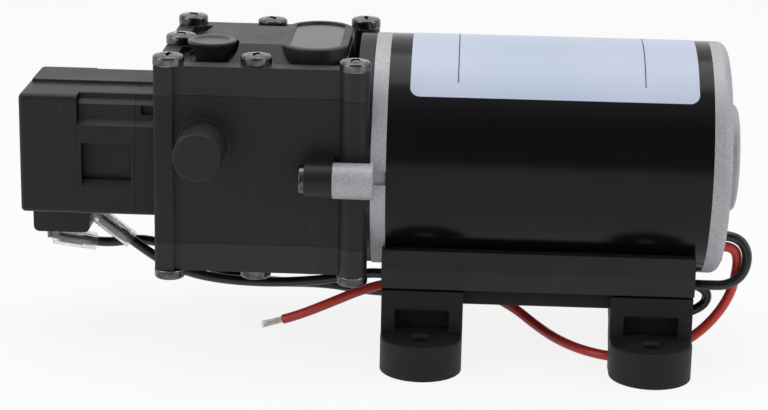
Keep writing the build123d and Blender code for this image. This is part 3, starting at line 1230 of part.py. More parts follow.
# Micro switch under the cap
button_inner = micro_right - MICRO_BUTTON_DEPTH
with BuildPart() as micro_switch:
    with BuildSketch(Plane(origin=((micro_left + micro_right) / 2, -MICRO_WIDTH / 2, AXIS_HEIGHT),
                           x_dir=(1, 0, 0), z_dir=(0, -1, 0))):
        with Locations((0, (MICRO_TOP + MICRO_BOTTOM) / 2)):
            RectangleRounded(MICRO_LENGTH, MICRO_TOP - MICRO_BOTTOM, MICRO_CORNER)
    extrude(amount=-MICRO_WIDTH)
    with BuildSketch(across(micro_right)):
        with Locations((0, MICRO_BUTTON_RISE)):
            Circle(MICRO_BUTTON_RADIUS + FIT)
    extrude(amount=-MICRO_BUTTON_DEPTH - SWITCH_TRAVEL, mode=Mode.SUBTRACT)
save(micro_switch.part, "micro_switch")

with BuildPart() as micro_switch_button:
    with BuildSketch(across(button_inner)):
        with Locations((0, MICRO_BUTTON_RISE)):
            Circle(MICRO_BUTTON_RADIUS)
    extrude(amount=MICRO_BUTTON_DEPTH + MICRO_BUTTON_PROUD)
save(micro_switch_button.part, "micro_switch_button")

# Each terminal: where its sleeve starts, and the direction that it points
terminals = (
    (Vector(micro_right + NEAR_TAB_X, 0, AXIS_HEIGHT + NEAR_TAB_RISE), Vector(9.5, 0.0, -7.2).normalized()),
    (Vector(micro_right + FAR_TAB_X, FAR_TAB_Y, AXIS_HEIGHT + FAR_TAB_RISE), Vector(7.2, 2.2, -1.7).normalized()),
)


def terminal_plane(start, direction, distance):
    """Plane square to a terminal's axis, with its own x along Y."""
    return Plane(origin=start + direction * distance, x_dir=(0, 1, 0), z_dir=direction)


with BuildPart() as terminal_sleeves:
    for start, direction in terminals:
        with BuildSketch(terminal_plane(start, direction, 0)):
            SlotOverall(SLEEVE_WIDTH, SLEEVE_HEIGHT)
            SlotOverall(SLEEVE_WIDTH - 2 * SLEEVE_WALL, SLEEVE_HEIGHT - 2 * SLEEVE_WALL, mode=Mode.SUBTRACT)
        extrude(amount=SLEEVE_LENGTH)
save(terminal_sleeves.part, "terminal_sleeves")

spade_start = 1.2
lead_start = SLEEVE_LENGTH - 1.6
with BuildPart() as spade_terminals:
    for start, direction in terminals:
        with BuildSketch(terminal_plane(start, direction, spade_start)):
            RectangleRounded(SPADE_WIDTH, SPADE_HEIGHT, 0.8)
            Rectangle(TAB_WIDTH + 2 * FIT, TAB_THICKNESS + 2 * FIT, mode=Mode.SUBTRACT)
        extrude(amount=SPADE_LENGTH - 1.0)
        with BuildSketch(terminal_plane(start, direction, spade_start + SPADE_LENGTH - 1.0)):
            RectangleRounded(SPADE_WIDTH, SPADE_HEIGHT, 0.8)
        extrude(amount=1.0)
        with BuildSketch(terminal_plane(start, direction, spade_start + SPADE_LENGTH)):
            Circle(CRIMP_RADIUS)
        extrude(amount=lead_start - spade_start - SPADE_LENGTH)
    for start, direction in terminals:
        with BuildSketch(terminal_plane(start, direction, -TAB_BACK)):
            Rectangle(TAB_WIDTH, TAB_THICKNESS)
        extrude(amount=TAB_BACK + spade_start + 4.6)
    with BuildSketch(across(micro_right)):
        with Locations((0, NEAR_TAB_RISE + 0.75)):
            Rectangle(TAB_WIDTH, TAB_THICKNESS)
    extrude(amount=NEAR_TAB_X - 0.15)
    with BuildSketch(level(MICRO_BOTTOM)):
        with Locations((micro_right + FAR_TAB_X - TAB_BACK, FAR_TAB_Y)):
            Rectangle(TAB_THICKNESS, TAB_WIDTH)
    extrude(amount=-TAB_ROOT_LENGTH)
save(spade_terminals.part, "spade_terminals")

# Base bracket and the feet
def can_height_at(y, radius):
    """Height above the floor of the underside of a cylinder round the motor axis."""
    return AXIS_HEIGHT - sqrt(radius**2 - y**2)


web_radius = CAN_RADIUS + BRACKET_WEB
with BuildPart() as base_bracket:
    with BuildSketch(Plane(origin=(-BRACKET_LENGTH / 2, 0, 0), x_dir=(0, 1, 0), z_dir=(1, 0, 0))):
        with BuildLine():
            top_y = BRACKET_HALF_WIDTH - BRACKET_TOP_INSET
            Polyline((-BRACKET_HALF_WIDTH, BRACKET_SKIRT), (-BRACKET_HALF_WIDTH, BRACKET_FACET),
                     (-top_y, BRACKET_TOP), (top_y, BRACKET_TOP), (BRACKET_HALF_WIDTH, BRACKET_FACET),
                     (BRACKET_HALF_WIDTH, BRACKET_SKIRT), close=True)
        make_face()
        for side in (-1, 1):
            with BuildLine():
                Polyline((side * RAIL_Y - RAIL_TOP_HALF, BRACKET_SKIRT),
                         (side * RAIL_Y + RAIL_TOP_HALF, BRACKET_SKIRT),
                         (side * RAIL_Y + RAIL_BOTTOM_HALF, RAIL_BOTTOM),
                         (side * RAIL_Y - RAIL_BOTTOM_HALF, RAIL_BOTTOM), close=True)
            make_face()
        with Locations((0, BRACKET_SKIRT)):
            Rectangle(2 * TUNNEL_HALF_WIDTH, 2 * (BRACKET_TOP - BRACKET_SKIRT), mode=Mode.SUBTRACT)
        with Locations((0, AXIS_HEIGHT)):
            Circle(web_radius)
        with Locations((0, BRACKET_TOP + CAN_RADIUS)):
            Rectangle(3 * CAN_RADIUS, 2 * CAN_RADIUS, mode=Mode.SUBTRACT)
        with Locations((0, AXIS_HEIGHT)):
            Circle(CAN_RADIUS + SKIN, mode=Mode.SUBTRACT)
    extrude(amount=BRACKET_LENGTH)
    for cradle_x, cradle_top in ((-CRADLE_X, LEFT_CRADLE_TOP), (CRADLE_X, RIGHT_CRADLE_TOP)):
        leg_top = can_height_at(CRADLE_HALF_SPAN - CRADLE_LEG, web_radius) + BRACKET_WEB / 2
        with BuildSketch(Plane(origin=(cradle_x - CRADLE_WIDTH / 2, 0, 0), x_dir=(0, 1, 0), z_dir=(1, 0, 0))):
            with Locations((0, cradle_top - CRADLE_BAR / 2)):
                Rectangle(2 * CRADLE_HALF_SPAN, CRADLE_BAR)
            for side in (-1, 1):
                with Locations((side * (CRADLE_HALF_SPAN - CRADLE_LEG / 2), (cradle_top + leg_top) / 2)):
                    Rectangle(CRADLE_LEG, leg_top - cradle_top)
        extrude(amount=CRADLE_WIDTH)
    with BuildSketch(Plane.XY):
        with Locations((-BRACKET_SCREW_X, 0), (BRACKET_SCREW_X, 0)):
            Circle(M4_SCREW[2] + SCREW_PLAY)
    extrude(amount=AXIS_HEIGHT, mode=Mode.SUBTRACT)
save(base_bracket.part, "base_bracket")

rail_slope = (RAIL_BOTTOM_HALF - RAIL_TOP_HALF) / (BRACKET_SKIRT - RAIL_BOTTOM)
groove_bottom = RAIL_BOTTOM - SLIDE
groove_top_half = RAIL_BOTTOM_HALF + SLIDE - rail_slope * (FOOT_TOP - RAIL_BOTTOM)
pad_arc_y = FOOT_PAD_OUTER - FOOT_WIDTH / 2
with BuildPart() as foot:
    with BuildSketch(Plane.XY):
        with Locations((0, (FOOT_PAD_INNER + pad_arc_y) / 2)):
            Rectangle(FOOT_WIDTH, pad_arc_y - FOOT_PAD_INNER)
        with Locations((0, pad_arc_y)):
            Circle(FOOT_WIDTH / 2)
        with Locations((0, FOOT_PAD_INNER / 2)):
            Rectangle(2 * FOOT_WIDTH, FOOT_PAD_INNER, mode=Mode.SUBTRACT)
    extrude(amount=FOOT_PAD_HEIGHT)
    fillet(foot.faces().sort_by(Axis.Z)[-1].edges(), FOOT_ROUNDING)
    window_back = FOOT_JAW_OUTER - FOOT_WINDOW_DEPTH
    with BuildSketch(Plane(origin=(-FOOT_WIDTH / 2, 0, 0), x_dir=(0, 1, 0), z_dir=(1, 0, 0))):
        with BuildLine():
            Polyline((FOOT_JAW_OUTER + 0.6, FOOT_PAD_HEIGHT / 2),
                     (FOOT_JAW_OUTER, FOOT_TOP), (FOOT_JAW_INNER, FOOT_TOP),
                     (FOOT_JAW_INNER, FOOT_WINDOW_TOP - 1.0), (window_back - 3.0, FOOT_WINDOW_BOTTOM + 2.0),
                     (window_back - 2.0, FOOT_WINDOW_BOTTOM - 1.5), (FOOT_PAD_INNER, FOOT_PAD_HEIGHT / 2),
                     close=True)
        make_face()
        with BuildLine():
            Polyline((RAIL_Y - RAIL_BOTTOM_HALF - SLIDE, groove_bottom),
                     (RAIL_Y + RAIL_BOTTOM_HALF + SLIDE, groove_bottom),
                     (RAIL_Y + groove_top_half, FOOT_TOP), (RAIL_Y - groove_top_half, FOOT_TOP), close=True)
        make_face(mode=Mode.SUBTRACT)
    extrude(amount=FOOT_WIDTH)
    window_height_mid = (FOOT_WINDOW_BOTTOM + FOOT_WINDOW_TOP) / 2
    with Locations((0, window_back + FOOT_WINDOW_DEPTH, window_height_mid)):
        Box(FOOT_WINDOW_WIDTH, 2 * FOOT_WINDOW_DEPTH, FOOT_WINDOW_TOP - FOOT_WINDOW_BOTTOM, mode=Mode.SUBTRACT)
    with BuildSketch(Plane.XY):
        with Locations((0, FOOT_HOLE_Y)):
            Circle(FOOT_HOLE_RADIUS)
    extrude(amount=FOOT_PAD_HEIGHT, mode=Mode.SUBTRACT)
    with Locations((0, FOOT_HOLE_Y, FOOT_PAD_HEIGHT - FOOT_HOLE_SINK / 2)):
        Cone(FOOT_HOLE_RADIUS, FOOT_HOLE_RADIUS + FOOT_HOLE_SINK, FOOT_HOLE_SINK, mode=Mode.SUBTRACT)

for name, x, turn in (
    ("front_left_foot", -FOOT_X, 180), ("front_right_foot", FOOT_X, 180),
    ("rear_left_foot", -FOOT_X, 0), ("rear_right_foot", FOOT_X, 0),
):
    save(Pos(x, 0, 0) * foot.part.rotate(Axis.Z, turn), name)


# Leads: the points of a route are chosen along the way that the lead lies
def route_radii(corners):
    """Arc radius at each inner point of a route, as large as its two runs allow."""
    runs = [after - before for before, after in zip(corners, corners[1:])]
    radii = []
    for run, next_run in zip(runs, runs[1:]):
        half_turn = radians(run.get_angle(next_run)) / 2
        radii.append(ARC_SHARE * min(run.length, next_run.length) / tan(half_turn))
    return radii


def lead_tube(points, name):
    """Tube of a lead along its route, checked against its section times its length."""
    corners = [Vector(*point) for point in points]
    radii = route_radii(corners)
    with BuildLine() as route:
        FilletPolyline(*corners, radius=radii)
    path = route.wires()[0]
    with BuildPart() as tube:
        with BuildSketch(Plane(origin=path @ 0, z_dir=path % 0)):
            Circle(LEAD_DIAMETER / 2)
        sweep(path=path)
    section = pi * LEAD_DIAMETER**2 / 4
    off = tube.part.volume / (section * path.length) - 1
    turns = ", ".join(f"{radius:.1f}" for radius in radii)
    print(f"{name}: length {path.length:.1f} mm, volume off by {off:.2%}, radii {turns}")
    if abs(off) > MM3_TOLERANCE:
        print(f"{name}: the tube's volume does not match its length")
    save(tube.part, name)
    return path


grommet_face = CASTING_REAR + GROMMET_PROUD
lead_height = LEAD_DIAMETER / 2
near_end, near_bend = [
    terminals[0][0] + terminals[0][1] * distance for distance in (lead_start, lead_start + 8.0)
]
far_end, far_bend = [
    terminals[1][0] + terminals[1][1] * distance for distance in (lead_start, lead_start + 5.0)
]

# Black lead: motor, round into the bracket's tunnel, under the head, up to the near terminal
motor_black_route = [
    (grommet_face, -10.0, 33.3),
    (54.0, -10.0, 33.3),
    (57.2, -10.6, 29.0),
    (56.4, -11.3, 23.2),
    (52.4, -11.4, 19.7),
    (46.8, -10.7, 19.3),
    (40.6, -9.4, 19.0),
    (30.0, -8.6, 17.6),
    (8.0, -8.0, 16.6),
    (-14.0, -7.4, 16.9),
    (-30.0, -6.8, 17.6),
    (-41.0, -6.1, 18.3),
    (-47.0, -5.8, 18.2),
    (-57.5, -5.2, 15.6),
    (-73.0, -4.6, 14.0),
    (-89.0, -3.6, 14.4),
    (-100.0, -1.8, 16.6),
    tuple(near_bend),
    tuple(near_end),
]
# Black lead: far terminal, under the head and through the tunnel to its cut end
switch_route = [
    tuple(far_end),
    tuple(far_bend),
    (-111.5, 7.6, 22.0),
    (-103.2, 6.4, 20.8),
    (-94.6, 3.8, 17.0),
    (-85.6, 1.4, 14.0),
    (-73.0, -0.8, 13.0),
    (-58.0, -1.6, 13.6),
    (-46.5, -2.2, 11.9),
    (-36.0, -2.8, 11.9),
    (-20.0, -5.2, 12.0),
    (-2.0, -5.4, 13.8),
    (16.0, -5.2, 15.6),
    (30.0, -5.4, 16.7),
    (38.5, -5.2, 17.2),
    (44.4, -4.8, 17.6),
    (47.8, -4.6, 15.0),
    (46.6, -4.6, 11.0),
    (42.9, -4.8, 9.6),
]
# Red lead: motor, down to the floor, round behind the near foot, back through the tunnel's left end
red_route = [
    (grommet_face, -10.0, 30.3),
    (52.9, -10.0, 30.2),
    (54.6, -9.0, 27.2),
    (54.6, -8.2, 22.6),
    (53.6, -7.8, 16.6),
    (50.6, -7.8, 10.6),
    (46.2, -8.0, 5.4),
    (41.2, -9.4, 2.0),
    (36.0, -12.4, lead_height),
    (30.4, -17.4, lead_height),
    (22.0, -21.3, lead_height),
    (13.6, -16.6, lead_height),
    (6.8, -8.6, lead_height),
    (1.0, -0.2, 2.4),
    (-5.6, 3.4, 6.6),
    (-14.6, 2.8, 11.2),
    (-25.4, -0.8, 14.0),
    (-36.6, -4.6, 15.8),
    (-46.4, -7.0, 14.2),
    (-56.4, -7.4, 9.6),
    (-65.2, -6.2, 5.3),
    (-69.4, -5.0, 3.6),
]
lead_tube(motor_black_route, "motor_black_lead")
switch_path = lead_tube(switch_route, "switch_lead")
red_path = lead_tube(red_route, "red_lead")

# Copper cores that stand out of the insulation: tinned on the red lead, cut short on the black
with BuildPart() as bare_lead_ends:
    for path, length in ((red_path, TINNED_LENGTH), (switch_path, CUT_CORE_LENGTH)):
        with BuildSketch(Plane(origin=path @ 1, z_dir=path % 1)):
            Circle(LEAD_CORE_RADIUS)
        extrude(amount=length)
save(bare_lead_ends.part, "bare_lead_ends")
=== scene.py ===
# %% [markdown]
# # A small diaphragm water pump, dressed for a product picture
# The pump is a black moulded head with two diaphragm chambers, a glossy motor can behind it, a
# pressure switch in front of it, and four rubber feet on a plastic bracket. The solids arrive at
# their real size and place. Here they get their finishes, the three leads become smooth curves,
# and the leads' bare ends, which the solids keep plain, are modelled strand by strand. Everything
# is in metres: +Z is up, and +X runs along the motor's axis towards its rear.

from math import cos, pi, radians, sin

import bpy
from mathutils import Matrix, Vector


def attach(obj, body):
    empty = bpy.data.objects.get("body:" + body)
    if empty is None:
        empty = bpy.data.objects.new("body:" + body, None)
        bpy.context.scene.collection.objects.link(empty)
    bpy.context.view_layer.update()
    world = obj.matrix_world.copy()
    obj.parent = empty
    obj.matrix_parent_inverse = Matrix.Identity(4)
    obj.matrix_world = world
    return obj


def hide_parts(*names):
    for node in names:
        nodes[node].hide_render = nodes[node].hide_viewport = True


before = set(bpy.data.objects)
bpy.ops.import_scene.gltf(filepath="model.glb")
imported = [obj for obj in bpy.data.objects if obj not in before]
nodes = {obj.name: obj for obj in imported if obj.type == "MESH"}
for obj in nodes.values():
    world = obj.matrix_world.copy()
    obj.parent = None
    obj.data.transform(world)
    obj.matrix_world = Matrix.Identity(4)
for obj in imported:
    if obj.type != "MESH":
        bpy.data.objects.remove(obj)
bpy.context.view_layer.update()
MM = 0.001
AXIS_Z = 52.5 * MM

# %% [markdown]
# ## The camera
# A product picture like this is taken with a long lens, a little above the object, so that the
# can's sides stay nearly parallel. The camera looks at a point low on the pump from 0.6 m. It is
# built from three directions: to the right, up, and back towards the camera. A small roll is
# added, because the pump stands slightly turned in the picture.

# %% Camera
CAMERA_AIM = Vector((-0.0422, 0.0, 0.0361))
CAMERA_DISTANCE = 0.6113
CAMERA_AZIMUTH = radians(2.199)
CAMERA_ELEVATION = radians(16.355)
CAMERA_ROLL = radians(1.114)
LENS_MM = 103.8
SENSOR_WIDTH_MM = 36.0
NEAREST_SEEN = 0.01
FARTHEST_SEEN = 20.0


def add_object(name, data):
    """A new object in the scene's own collection."""
    piece = bpy.data.objects.new(name, data)
    bpy.context.scene.collection.objects.link(piece)
    return piece


def add_camera():
    """The camera, from its three directions and its place."""
    back = Vector((sin(CAMERA_AZIMUTH) * cos(CAMERA_ELEVATION),
                   -cos(CAMERA_AZIMUTH) * cos(CAMERA_ELEVATION), sin(CAMERA_ELEVATION)))
    right = Vector((cos(CAMERA_AZIMUTH), sin(CAMERA_AZIMUTH), 0.0))
    up = back.cross(right)
    rolled_right = right * cos(CAMERA_ROLL) + up * sin(CAMERA_ROLL)
    rolled_up = up * cos(CAMERA_ROLL) - right * sin(CAMERA_ROLL)
    data = bpy.data.cameras.new("product_camera")
    data.sensor_width = SENSOR_WIDTH_MM
    data.lens = LENS_MM
    data.clip_start = NEAREST_SEEN
    data.clip_end = FARTHEST_SEEN
    camera = add_object("product_camera", data)
    turn = Matrix((rolled_right, rolled_up, back)).transposed().to_4x4()
    camera.matrix_world = Matrix.Translation(CAMERA_AIM + back * CAMERA_DISTANCE) @ turn
    bpy.context.scene.camera = camera
    return camera


camera = add_camera()
print("camera at", [round(value, 4) for value in camera.matrix_world.translation])

# %% [markdown]
# ## The leads
# Three thin leads leave the pump: a red and a black one come out of the motor's rear, and another
# black one comes from the pressure switch. Such a lead is limp, so it follows one smooth line. A
# NURBS curve fits: its control points are the places that the lead is led through, and it rounds
# every corner by itself. The bevel depth gives it its thickness.

# %% Lead curves
LEAD_DIAMETER = 2.7 * MM


def lead_curve(name, points_mm):
    """A smooth round lead along a few points, in millimetres."""
    data = bpy.data.curves.new(name, "CURVE")
    data.dimensions = "3D"
    data.bevel_depth = LEAD_DIAMETER / 2
    data.bevel_resolution = 5
    data.resolution_u = 10
    spline = data.splines.new("NURBS")
    spline.points.add(len(points_mm) - 1)
    for point, place in zip(spline.points, points_mm):
        point.co = (place[0] * MM, place[1] * MM, place[2] * MM, 1.0)
    spline.use_endpoint_u = True
    spline.order_u = 3
    return add_object(name, data)


motor_black_points = [
    (49.85, -10.0, 33.3), (54.0, -10.0, 33.3), (57.2, -10.6, 29.0), (56.4, -11.3, 23.2),
    (52.4, -11.4, 19.7), (46.8, -10.7, 19.3), (40.6, -9.4, 19.0), (30.0, -8.6, 17.6),
    (8.0, -8.0, 16.6), (-14.0, -7.4, 16.9), (-30.0, -6.8, 17.6), (-41.0, -6.1, 18.3),
    (-47.0, -5.8, 18.2), (-57.5, -5.2, 15.6), (-73.0, -4.6, 14.0), (-89.0, -3.6, 14.4),
    (-100.0, -1.8, 16.6), (-107.164, 0.0, 19.945), (-113.541, 0.0, 24.779),
]
switch_points = [
    (-124.540, 3.736, 22.131), (-119.875, 5.162, 21.030), (-111.5, 7.6, 22.0),
    (-103.2, 6.4, 20.8), (-94.6, 3.8, 17.0), (-85.6, 1.4, 14.0), (-73.0, -0.8, 13.0),
    (-58.0, -1.6, 13.6), (-46.5, -2.2, 11.9), (-36.0, -2.8, 11.9), (-20.0, -5.2, 12.0),
    (-2.0, -5.4, 13.8), (16.0, -5.2, 15.6), (30.0, -5.4, 16.7), (38.5, -5.2, 17.2),
    (44.4, -4.8, 17.6), (47.8, -4.6, 15.0), (46.6, -4.6, 11.0), (42.9, -4.8, 9.6),
]
red_points = [
    (49.85, -10.0, 30.3), (52.9, -10.0, 30.2), (54.6, -9.0, 27.2), (54.6, -8.2, 22.6),
    (53.6, -7.8, 16.6), (50.6, -7.8, 10.6), (46.2, -8.0, 5.4), (41.2, -9.4, 2.0),
    (36.0, -12.4, 1.35), (30.4, -17.4, 1.35), (22.0, -21.3, 1.35), (13.6, -16.6, 1.35),
    (6.8, -8.6, 1.35), (1.0, -0.2, 2.4), (-5.6, 3.4, 6.6), (-14.6, 2.8, 11.2),
    (-25.4, -0.8, 14.0), (-36.6, -4.6, 15.8), (-46.4, -7.0, 14.2), (-56.4, -7.4, 9.6),
    (-65.2, -6.2, 5.3), (-69.4, -5.0, 3.6),
]
motor_black_curve = lead_curve("motor_black_lead_curve", motor_black_points)
switch_curve = lead_curve("switch_lead_curve", switch_points)
red_curve = lead_curve("red_lead_curve", red_points)
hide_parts("motor_black_lead")
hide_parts("switch_lead")
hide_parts("red_lead")
print("leads:", [piece.name for piece in (motor_black_curve, switch_curve, red_curve)])

# %% [markdown]
# ## Helpers for shader nodes
# A finish is a graph of nodes. Each node has input sockets, and a socket either holds a plain value
# or is fed by another node. These two helpers take both kinds, and the later ones add one node
# each, so that a finish can be read from top to bottom like a sum.

# %% Socket helpers


def feed(tree, socket, value):
    """Link another node's output to a socket, or store a number or a colour in it."""
    if isinstance(value, bpy.types.NodeSocket):
        tree.links.new(value, socket)
    elif isinstance(value, tuple):
        socket.default_value = (*value, 1.0)
    else:
        socket.default_value = value


def feed_all(tree, node, **values):
    """Feed several sockets of a node by name, with an underscore for each space."""
    for name, value in values.items():
        feed(tree, node.inputs[name.replace("_", " ")], value)


print("helpers:", feed.__name__, feed_all.__name__)

# %% [markdown]
# ## Rounded and rubbed edges
# No real edge is perfectly sharp, and it is the first place that wears. A Bevel node gives the
# normal that the surface would have with its edges rounded by a small radius. Where that normal
# leans away from the true one there is an edge, so the same node also yields a mask for the wear,
# and on the screws' rims for a painted highlight as well. Effects that many finishes share are
# node groups, made once, and each finish sets its amounts.

# %% Edge effect
EDGE_BEGINS = 0.995  # cosine between the two normals where the mask starts to rise
EDGE_FULL = 0.86  # and where it is 1
EDGE_SAMPLES = 6
FLOAT, VECTOR = "NodeSocketFloat", "NodeSocketVector"


def new_group(name, inputs, outputs):
    """A node group with only its sockets: inputs (name, kind, default), outputs (name, kind)."""
    group = bpy.data.node_groups.new(name, "ShaderNodeTree")
    for socket_name, kind, default in inputs:
        socket = group.interface.new_socket(name=socket_name, in_out="INPUT", socket_type=kind)
        if default is not None:
            socket.default_value = default
    for socket_name, kind in outputs:
        group.interface.new_socket(name=socket_name, in_out="OUTPUT", socket_type=kind)
    return group, group.nodes.new("NodeGroupInput"), group.nodes.new("NodeGroupOutput")


def ramp_node(tree, value, low, high, low_value=0.0, high_value=1.0):
    """Map low..high to low_value..high_value, and stay there beyond both ends."""
    node = tree.nodes.new("ShaderNodeMapRange")
    feed_all(tree, node, Value=value, From_Min=low, From_Max=high, To_Min=low_value,
             To_Max=high_value)
    return node.outputs["Result"]


def rounded_edge_group():
    """The rounded normal, and a mask that is 1 along edges."""
    group, entry, leave = new_group("RoundedEdges", [("Radius", FLOAT, 0.0004)],
                                    [("Normal", VECTOR), ("Edge", FLOAT)])
    bevel = group.nodes.new("ShaderNodeBevel")
    bevel.samples = EDGE_SAMPLES
    feed(group, bevel.inputs["Radius"], entry.outputs["Radius"])
    geometry = group.nodes.new("ShaderNodeNewGeometry")
    cosine = group.nodes.new("ShaderNodeVectorMath")
    cosine.operation = "DOT_PRODUCT"
    feed(group, cosine.inputs[0], bevel.outputs["Normal"])
    feed(group, cosine.inputs[1], geometry.outputs["Normal"])
    edge = ramp_node(group, cosine.outputs["Value"], EDGE_BEGINS, EDGE_FULL)
    feed_all(group, leave, Normal=bevel.outputs["Normal"], Edge=edge)
    return group


edge_effect = rounded_edge_group()
print("effect:", edge_effect.name)

# %% [markdown]
# ## Grain and mottle
# A mould or a casting leaves a fine grain, and the colour is never quite even over a palm's width.
# One noise at a small scale gives the grain's height, and one at a larger scale gives soft patches.
# Patterns are placed by Object coordinates, which are metres here, so a scale counts waves to the
# metre.

# %% Grain effect
PATCH_CONTRAST = (0.3, 0.7)


def noise_node(tree, place, scale, detail, roughness):
    """A cloudy pattern, from 0 to 1."""
    node = tree.nodes.new("ShaderNodeTexNoise")
    feed_all(tree, node, Vector=place, Scale=scale, Detail=detail, Roughness=roughness)
    return node.outputs["Fac"]


def grain_group():
    """The grain's height and a soft mottle mask."""
    group, entry, leave = new_group(
        "SurfaceGrain",
        [("Vector", VECTOR, None), ("Grain Scale", FLOAT, 2500.0), ("Mottle Scale", FLOAT, 90.0)],
        [("Height", FLOAT), ("Mottle", FLOAT)])
    place = entry.outputs["Vector"]
    fine = noise_node(group, place, entry.outputs["Grain Scale"], detail=2.0, roughness=0.6)
    soft = noise_node(group, place, entry.outputs["Mottle Scale"], detail=4.0, roughness=0.55)
    feed_all(group, leave, Height=fine, Mottle=ramp_node(group, soft, *PATCH_CONTRAST))
    return group


grain_effect = grain_group()
print("effect:", grain_effect.name)

# %% [markdown]
# ## Scuffs
# Handling leaves faint scuffs that lie mostly one way and come in patches. A noise that is stretched
# along one axis draws the lines, and a second, large noise keeps them to some places.

# %% Scuff effect
SCUFF_LEAN = (0.3, 0.5, 0.2)
SCUFF_STRETCH = (1.0, 1.0, 0.12)
SCUFF_LINE_RANGE = (0.58, 0.74)
SCUFF_PATCH_SCALE = 28.0
SCUFF_PATCH_RANGE = (0.45, 0.62)


def math_node(tree, operation, *values):
    """The result of one operation on numbers or sockets."""
    node = tree.nodes.new("ShaderNodeMath")
    node.operation = operation
    for socket, value in zip(node.inputs, values):
        feed(tree, socket, value)
    return node.outputs[0]


def scuff_group():
    """A mask of long faint scuffs, in patches."""
    group, entry, leave = new_group(
        "Scuffs", [("Vector", VECTOR, None), ("Scale", FLOAT, 120.0)], [("Mask", FLOAT)])
    place = entry.outputs["Vector"]
    mapping = group.nodes.new("ShaderNodeMapping")
    mapping.inputs["Rotation"].default_value = SCUFF_LEAN
    mapping.inputs["Scale"].default_value = SCUFF_STRETCH
    feed(group, mapping.inputs["Vector"], place)
    lines = noise_node(group, mapping.outputs["Vector"], entry.outputs["Scale"], detail=5.0,
                       roughness=0.7)
    patches = noise_node(group, place, SCUFF_PATCH_SCALE, detail=2.0, roughness=0.5)
    mask = math_node(group, "MULTIPLY", ramp_node(group, lines, *SCUFF_LINE_RANGE),
                     ramp_node(group, patches, *SCUFF_PATCH_RANGE))
    feed(group, leave.inputs["Mask"], mask)
    return group


scuff_effect = scuff_group()
print("effect:", scuff_effect.name)

# %% [markdown]
# ## Moulded plastic and rubber
# Each finish is a Principled shader with the shared effects in front of it. Black plastic is never
# quite black: its grain scatters the light, so its top faces look charcoal. Where a hand or a tool
# has rubbed an edge, the colour lifts and the surface turns smoother. One function makes all the
# moulded finishes.

# %% Moulded finish
EDGE_RUB = 0.6  # how far a rubbed edge goes towards the rubbed colour
RUB_SMOOTHING = 0.12  # how much roughness the rubbing takes away


def new_material(name):
    """A material with its node tree, its shader and the place of a surface point."""
    material = bpy.data.materials.new(name)
    material.use_nodes = True
    tree = material.node_tree
    coordinates = tree.nodes.new("ShaderNodeTexCoord")
    return material, tree, tree.nodes["Principled BSDF"], coordinates.outputs["Object"]


def place_group(tree, group, place=None, **amounts):
    """Put a shared effect in a finish, with the finish's own amounts."""
    node = tree.nodes.new("ShaderNodeGroup")
    node.node_tree = group
    if place is not None:
        feed_all(tree, node, Vector=place)
    feed_all(tree, node, **amounts)
    return node


def mix_colour(tree, mask, first, second):
    """The first colour where the mask is 0, and the second where it is 1."""
    node = tree.nodes.new("ShaderNodeMix")
    node.data_type = "RGBA"
    feed_all(tree, node, Factor=mask, A=first, B=second)
    return node.outputs["Result"]


def varied(tree, base, pattern, change):
    """A base value, raised by a pattern times a change."""
    return math_node(tree, "MULTIPLY_ADD", pattern, change, base)


def bump_node(tree, height, depth, strength=0.6, normal=None):
    """A normal that follows a height pattern, on top of another normal where one is given."""
    node = tree.nodes.new("ShaderNodeBump")
    feed_all(tree, node, Strength=strength, Distance=depth, Height=height)
    if normal is not None:
        feed_all(tree, node, Normal=normal)
    return node.outputs["Normal"]


def moulded_finish(name, dark, light, lifted_colour, rough, grain=0.00002, edge=0.00035, scuffs=0.5,
                   specular=0.5):
    """Moulded plastic or rubber: grain, mottle, scuffs and rubbed edges."""
    material, tree, shader, place = new_material(name)
    surface = place_group(tree, grain_effect, place)
    edges = place_group(tree, edge_effect, Radius=edge)
    marks = place_group(tree, scuff_effect, place)
    edge_lift = math_node(tree, "MULTIPLY", edges.outputs["Edge"], EDGE_RUB)
    marked = math_node(tree, "MULTIPLY", marks.outputs["Mask"], scuffs)
    worn = math_node(tree, "MAXIMUM", edge_lift, marked)
    colour = mix_colour(tree, surface.outputs["Mottle"], dark, light)
    roughness = varied(tree, rough, surface.outputs["Mottle"], change=0.10)
    smoother = math_node(tree, "MULTIPLY", worn, RUB_SMOOTHING)
    feed_all(tree, shader, Base_Color=mix_colour(tree, worn, colour, lifted_colour),
             Roughness=math_node(tree, "SUBTRACT", roughness, smoother),
             Specular_IOR_Level=specular,
             Normal=bump_node(tree, surface.outputs["Height"], grain,
                              normal=edges.outputs["Normal"]))
    return material


print("finish:", moulded_finish.__name__)

# %% [markdown]
# ## The plastics and rubbers
# Each has its own colours, roughness and depth of grain. The blacks differ only a little, but side
# by side the eye tells rubber from plastic by how softly it shines.

# %% Plastics and rubbers
head_plastic = moulded_finish(
    "head_plastic", dark=(0.0085, 0.0080, 0.0095), light=(0.0130, 0.0125, 0.0145),
    lifted_colour=(0.050, 0.049, 0.055), rough=0.42, grain=0.000012, scuffs=0.55, specular=0.3)
bracket_plastic = moulded_finish(
    "bracket_plastic", dark=(0.015, 0.0148, 0.0165), light=(0.021, 0.0205, 0.0225),
    lifted_colour=(0.045, 0.045, 0.048), rough=0.50, scuffs=0.35, specular=0.3)
foot_rubber = moulded_finish(
    "foot_rubber", dark=(0.0095, 0.0095, 0.0105), light=(0.014, 0.014, 0.0155),
    lifted_colour=(0.034, 0.034, 0.037), rough=0.55, scuffs=0.3, specular=0.25)
cap_rubber = moulded_finish(
    "cap_rubber", dark=(0.013, 0.0127, 0.0137), light=(0.019, 0.0185, 0.0195),
    lifted_colour=(0.040, 0.039, 0.042), rough=0.52, grain=0.000015, edge=0.0007, scuffs=0.4, specular=0.3)
